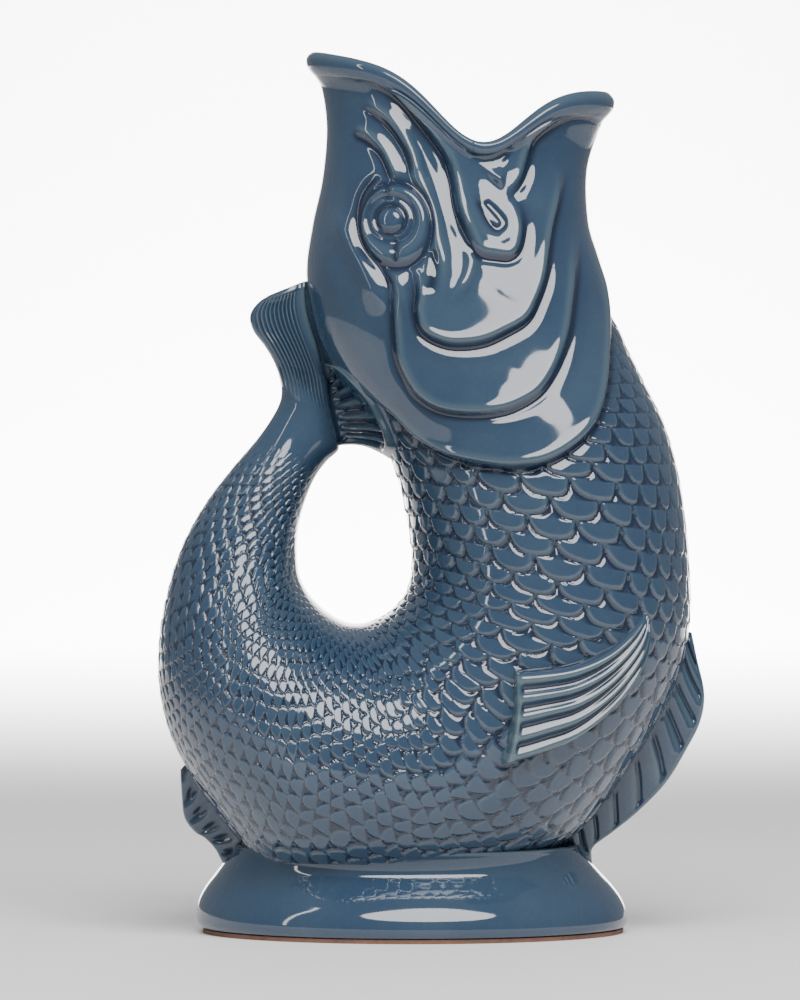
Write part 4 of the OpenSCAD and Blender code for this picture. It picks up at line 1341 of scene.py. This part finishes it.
def tail_upper_lobe(fins):
    """The upper lobe, fanned out from the palm to the tail's tip, with ribs across its top."""
    q, turn = np.meshgrid(np.linspace(-0.05, 1, 150), np.arange(420) / 420, indexing="ij")
    angle = 2 * np.pi * turn
    over = (1 + np.cos(angle)) / 2
    crest = rib_crests(fins.tail_ribs * over ** 0.9)
    fan = falling(q, 0.86, 0.08) * rising(over, 0.15, 0.08) * falling(over, 0.95, 0.06)
    height = -0.6 * fins.rib_groove * (1 - crest) * fan
    height += 0.5 * MM * rising(q, 0.82, 0.06) * np.abs(np.sin(angle))
    height += 1.1 * MM * bell(over, 0.09, 0.045) * rising(q, 0, 0.3)
    height += 4.6 * MM * bell(over / 0.028) * rising(q, -0.05, 0.15) * falling(q, 1, 0.06)
    height -= 3 * MM * np.clip((q - 0.95) / 0.05, 0, 1) ** 3
    height = np.where(q < 0.01, height - 0.12 * MM, height)
    loops = skin(PALM_END + (1 - PALM_END) * q, turn, height)
    # Darker along the back line, the lobe's top border.
    pool = np.maximum(0.8 * between_ribs(crest) * fan, 0.9 * bell(over, 0.012, 0.02) * rising(q, 0, 0.1))
    edge = np.maximum(0.7 * on_ribs(crest) * fan, 0.9 * bell(over, 0.09, 0.04) * rising(q, 0, 0.3))
    finished(lofted("tail_upper_lobe", loops, pool=pool, edge=edge), "fin_glaze", "tail_upper_lobe")


def lobe_end(places):
    """Points along an edge of the lower lobe down the right side and up the left, a way out from each and
    the share of the way down."""
    down = (np.arange(180) + 0.5) / 180
    way, turn = along(places, down).T
    way, turn = np.append(way, way[::-1]), np.append(turn, 1 - turn[::-1])
    on = skin(way, turn)
    out = skin(way, turn, MM) - on
    return on, out / np.linalg.norm(out, axis=-1, keepdims=True), np.append(down, down[::-1])


def tail_lower_lobe(fins):
    """The lower lobe, from the palm to the back of the head, with ribs along its sides."""
    (palm, _, down), (back, out, _) = lobe_end(LOBE_AT_PALM), lobe_end(LOBE_AT_BACK)
    share = np.linspace(0, 1, 100)[:, None]
    body = palm + (back - palm) * share[..., None]
    arch = np.sin(np.pi * share)
    body[..., 1] *= 1 - 0.30 * arch
    body[..., 2] += 1.6 * MM * arch * down ** 4
    brim = bell(share, 0.91, 0.06) * rising(down, 0, 0.08) * falling(down, 1, 0.15)
    body = body + out * (1.7 * MM * brim)[..., None]
    normals = grid_normals(body)
    middle = body.mean(axis=1, keepdims=True)
    normals = normals * np.sign(np.einsum("ijk,ijk->", normals, body - middle))
    crest = rib_crests(LOWER_RIBS * down)
    fan = rising(share, 0.04, 0.15) * falling(share, 0.85, 0.12) * falling(down, 0.98, 0.06)
    body = body - normals * (1.3 * fins.rib_groove * (1 - crest) * fan)[..., None]
    in_palm, in_back = palm.mean(0) + (palm - palm.mean(0)) * 0.5, back - out * 2.5 * MM
    loops = np.concatenate([[in_palm], body, [in_back]])
    # Darker over the first quarter of the lobe, from the palm.
    pool = np.maximum(between_ribs(crest) * fan, 0.6 * bell(share, 0.05, 0.25))
    edge = np.maximum(0.8 * on_ribs(crest) * fan, brim)
    values = glaze_values(pool, edge, lambda v: np.pad(v, ((1, 1), (0, 0))))
    finished(lofted("tail_lower_lobe", loops, **values), "fin_glaze", "tail_lower_lobe")


class JUG_OT_tail_lobes(bpy.types.Operator):
    """Make the two lobes of the tail fin"""

    bl_idname = "jug.tail_lobes"
    bl_label = "Tail lobes"

    def execute(self, context):
        tail_upper_lobe(context.scene.jug_fins)
        tail_lower_lobe(context.scene.jug_fins)
        return {"FINISHED"}


class JUG_OT_pedestal(bpy.types.Operator):
    """Make the glazed pedestal and finish the bare foot ring"""

    bl_idname = "jug.pedestal"
    bl_label = "Pedestal"

    def execute(self, context):
        half_length, half_width = ((PEDESTAL_HIGH[k] - PEDESTAL_LOW[k]) / 2 for k in (0, 1))
        height, foot_top = PEDESTAL_HIGH.z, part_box("foot_ring")[1].z
        turn = -2 * np.pi * np.arange(420) / 420

        def oval(end_share, front_share, level):
            """A loop round the pedestal at a level: shares of its half length and of its half width."""
            level = max(level, foot_top)
            share = end_share + (front_share - end_share) * np.sin(turn) ** 2
            back = 1.8 * MM * min(level / height, 1)
            return np.stack([
                share * half_length * np.cos(turn) - back, share * half_width * np.sin(turn),
                np.full(turn.shape, level)], -1)

        under = [oval(0.80, 0.80, foot_top + 1.6 * MM), oval(0.85, 0.85, foot_top)]
        up = np.linspace(0, 1, 90)
        outside = [oval(end, front, z * height) for end, front, z in along(PEDESTAL_OUTSIDE, up)]
        inside = [oval(end, end, z * height) for end, z in along(PEDESTAL_INSIDE, np.linspace(0, 1, 20))]
        rows = np.pad(up, (len(under), len(inside)))[:, None]
        piece = lofted(
            "pedestal_glazed", np.stack(under + outside + inside), pool=0.7 * bell(rows, 0.02, 0.03),
            edge=0.7 * bell(rows, 0.93, 0.04))
        finished(piece, "glaze", "pedestal")
        coat(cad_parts["foot_ring"], "bare_clay")
        return {"FINISHED"}


# The studio


# The wall's distance behind the jug, the radius of the bend between it and the floor, and its top
WALL_AT, BEND, WALL_TOP = 3.3, 0.6, 1.6
# Height of the camera's sensor, in millimetres
SENSOR = 36.0


def placed(name, data, at, aim):
    """An object at a point, turned to look at another."""
    made = bpy.data.objects.new(name, data)
    bpy.context.scene.collection.objects.link(made)
    made.location = at
    made.rotation_euler = (Vector(aim) - Vector(at)).to_track_quat("-Z", "Y").to_euler()
    return made


def softbox(name, at, aim, size, watts, spread=180, shape="RECTANGLE"):
    """A soft lamp, its spread in degrees."""
    lamp = bpy.data.lights.new(name, "AREA")
    lamp.shape, lamp.size, lamp.size_y = shape, *size
    lamp.spread, lamp.energy, lamp.color = math.radians(spread), watts, (1.0, 0.97, 0.97)
    placed(name, lamp, at, aim)


def paper_sweep():
    """The pale floor, which bends up into a wall behind."""
    curve = np.linspace(0, np.pi / 2, 24)[1:]
    depth = np.concatenate([[-0.7, WALL_AT - BEND], WALL_AT - BEND + BEND * np.sin(curve), [WALL_AT]])
    rise = np.concatenate([[0, 0], BEND - BEND * np.cos(curve), [WALL_TOP]])
    points = np.stack([np.tile([-1.0, 0.0, 1.0], len(depth)), np.repeat(depth, 3), np.repeat(rise, 3)], -1)
    first = (3 * np.arange(len(depth) - 1)[:, None] + [0, 1]).ravel()
    mesh = bpy.data.meshes.new("studio_sweep")
    mesh.from_pydata(points.tolist(), [], np.stack([first, first + 1, first + 4, first + 3], -1).tolist())
    mesh.polygons.foreach_set("use_smooth", np.ones(len(mesh.polygons), bool))
    paper, _, sockets = new_material("pale_paper")
    sockets["Base Color"].default_value = (0.92, 0.91, 0.90, 1)
    sockets["Roughness"].default_value = 0.9
    mesh.materials.append(paper)
    sweep = bpy.data.objects.new("studio_sweep", mesh)
    bpy.context.scene.collection.objects.link(sweep)
    return sweep


class JUG_OT_studio(bpy.types.Operator):
    """Set up the pale floor, the soft lights and the camera"""

    bl_idname = "jug.studio"
    bl_label = "Studio"

    def execute(self, context):
        scene = context.scene
        light, jug = scene.jug_studio, (0, 0, 0.13)
        paper_sweep()
        softbox("overhead_softbox", (0.18, -1.0, 1.35), jug, (1.45, 0.98), light.softbox, shape="ELLIPSE")
        softbox("side_softbox", (-1.5, -0.9, 1.05), jug, (0.07, 2.0), light.fill)
        softbox("back_light", (0, WALL_AT - 1.1, 1.9), (0, WALL_AT - 0.7, 0), (0.6, 0.5), light.backdrop, 100)

        scene.world = scene.world or bpy.data.worlds.new("room")
        scene.world.use_nodes = True
        room = next(n for n in scene.world.node_tree.nodes if n.type == "BACKGROUND")
        room.inputs["Color"].default_value = (0.93, 0.95, 1.0, 1)
        room.inputs["Strength"].default_value = light.room

        camera = bpy.data.cameras.new("camera")
        camera.sensor_fit, camera.sensor_height, camera.clip_end = "VERTICAL", SENSOR, 20
        camera.lens = SENSOR * math.hypot(VIEW_DISTANCE, VIEW_HEIGHT - AIM_Z) / PICTURE_HEIGHT
        scene.camera = placed("camera", camera, (AIM_X, -VIEW_DISTANCE, VIEW_HEIGHT), (AIM_X, 0, AIM_Z))
        return {"FINISHED"}


SETTINGS = {
    "jug_vessel": VesselSizes, "jug_scales": ScaleSizes, "jug_head": HeadRelief, "jug_fins": FinSizes,
    "jug_glaze": GlazeColours, "jug_studio": StudioLight,
}
OPERATORS = [
    JUG_OT_studio, JUG_OT_head, JUG_OT_lips, JUG_OT_body, JUG_OT_side_fins, JUG_OT_belly_fins,
    JUG_OT_tail_lobes, JUG_OT_pedestal,
]


class JUG_PT_panel(bpy.types.Panel):
    """The jug's sizes and glaze, and a button for each of its pieces"""

    bl_label = "Gurgle jug"
    bl_idname = "JUG_PT_panel"
    bl_space_type = "VIEW_3D"
    bl_region_type = "UI"
    bl_category = "Jug"

    def draw(self, context):
        for key, group in SETTINGS.items():
            box = self.layout.box()
            box.label(text=group.__name__)
            for name in group.__annotations__:
                box.prop(getattr(context.scene, key), name)
        for operator in OPERATORS:
            self.layout.operator(operator.bl_idname)


def register():
    for made in (*SETTINGS.values(), *OPERATORS, JUG_PT_panel):
        bpy.utils.register_class(made)
    for key, group in SETTINGS.items():
        setattr(bpy.types.Scene, key, PointerProperty(type=group))


def unregister():
    for key in SETTINGS:
        delattr(bpy.types.Scene, key)
    for made in reversed((*SETTINGS.values(), *OPERATORS, JUG_PT_panel)):
        bpy.utils.unregister_class(made)


def main():
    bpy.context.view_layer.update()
    register()
    for operator in OPERATORS:
        getattr(bpy.ops.jug, operator.bl_idname.split(".")[1])()


if __name__ == "__main__":
    main()
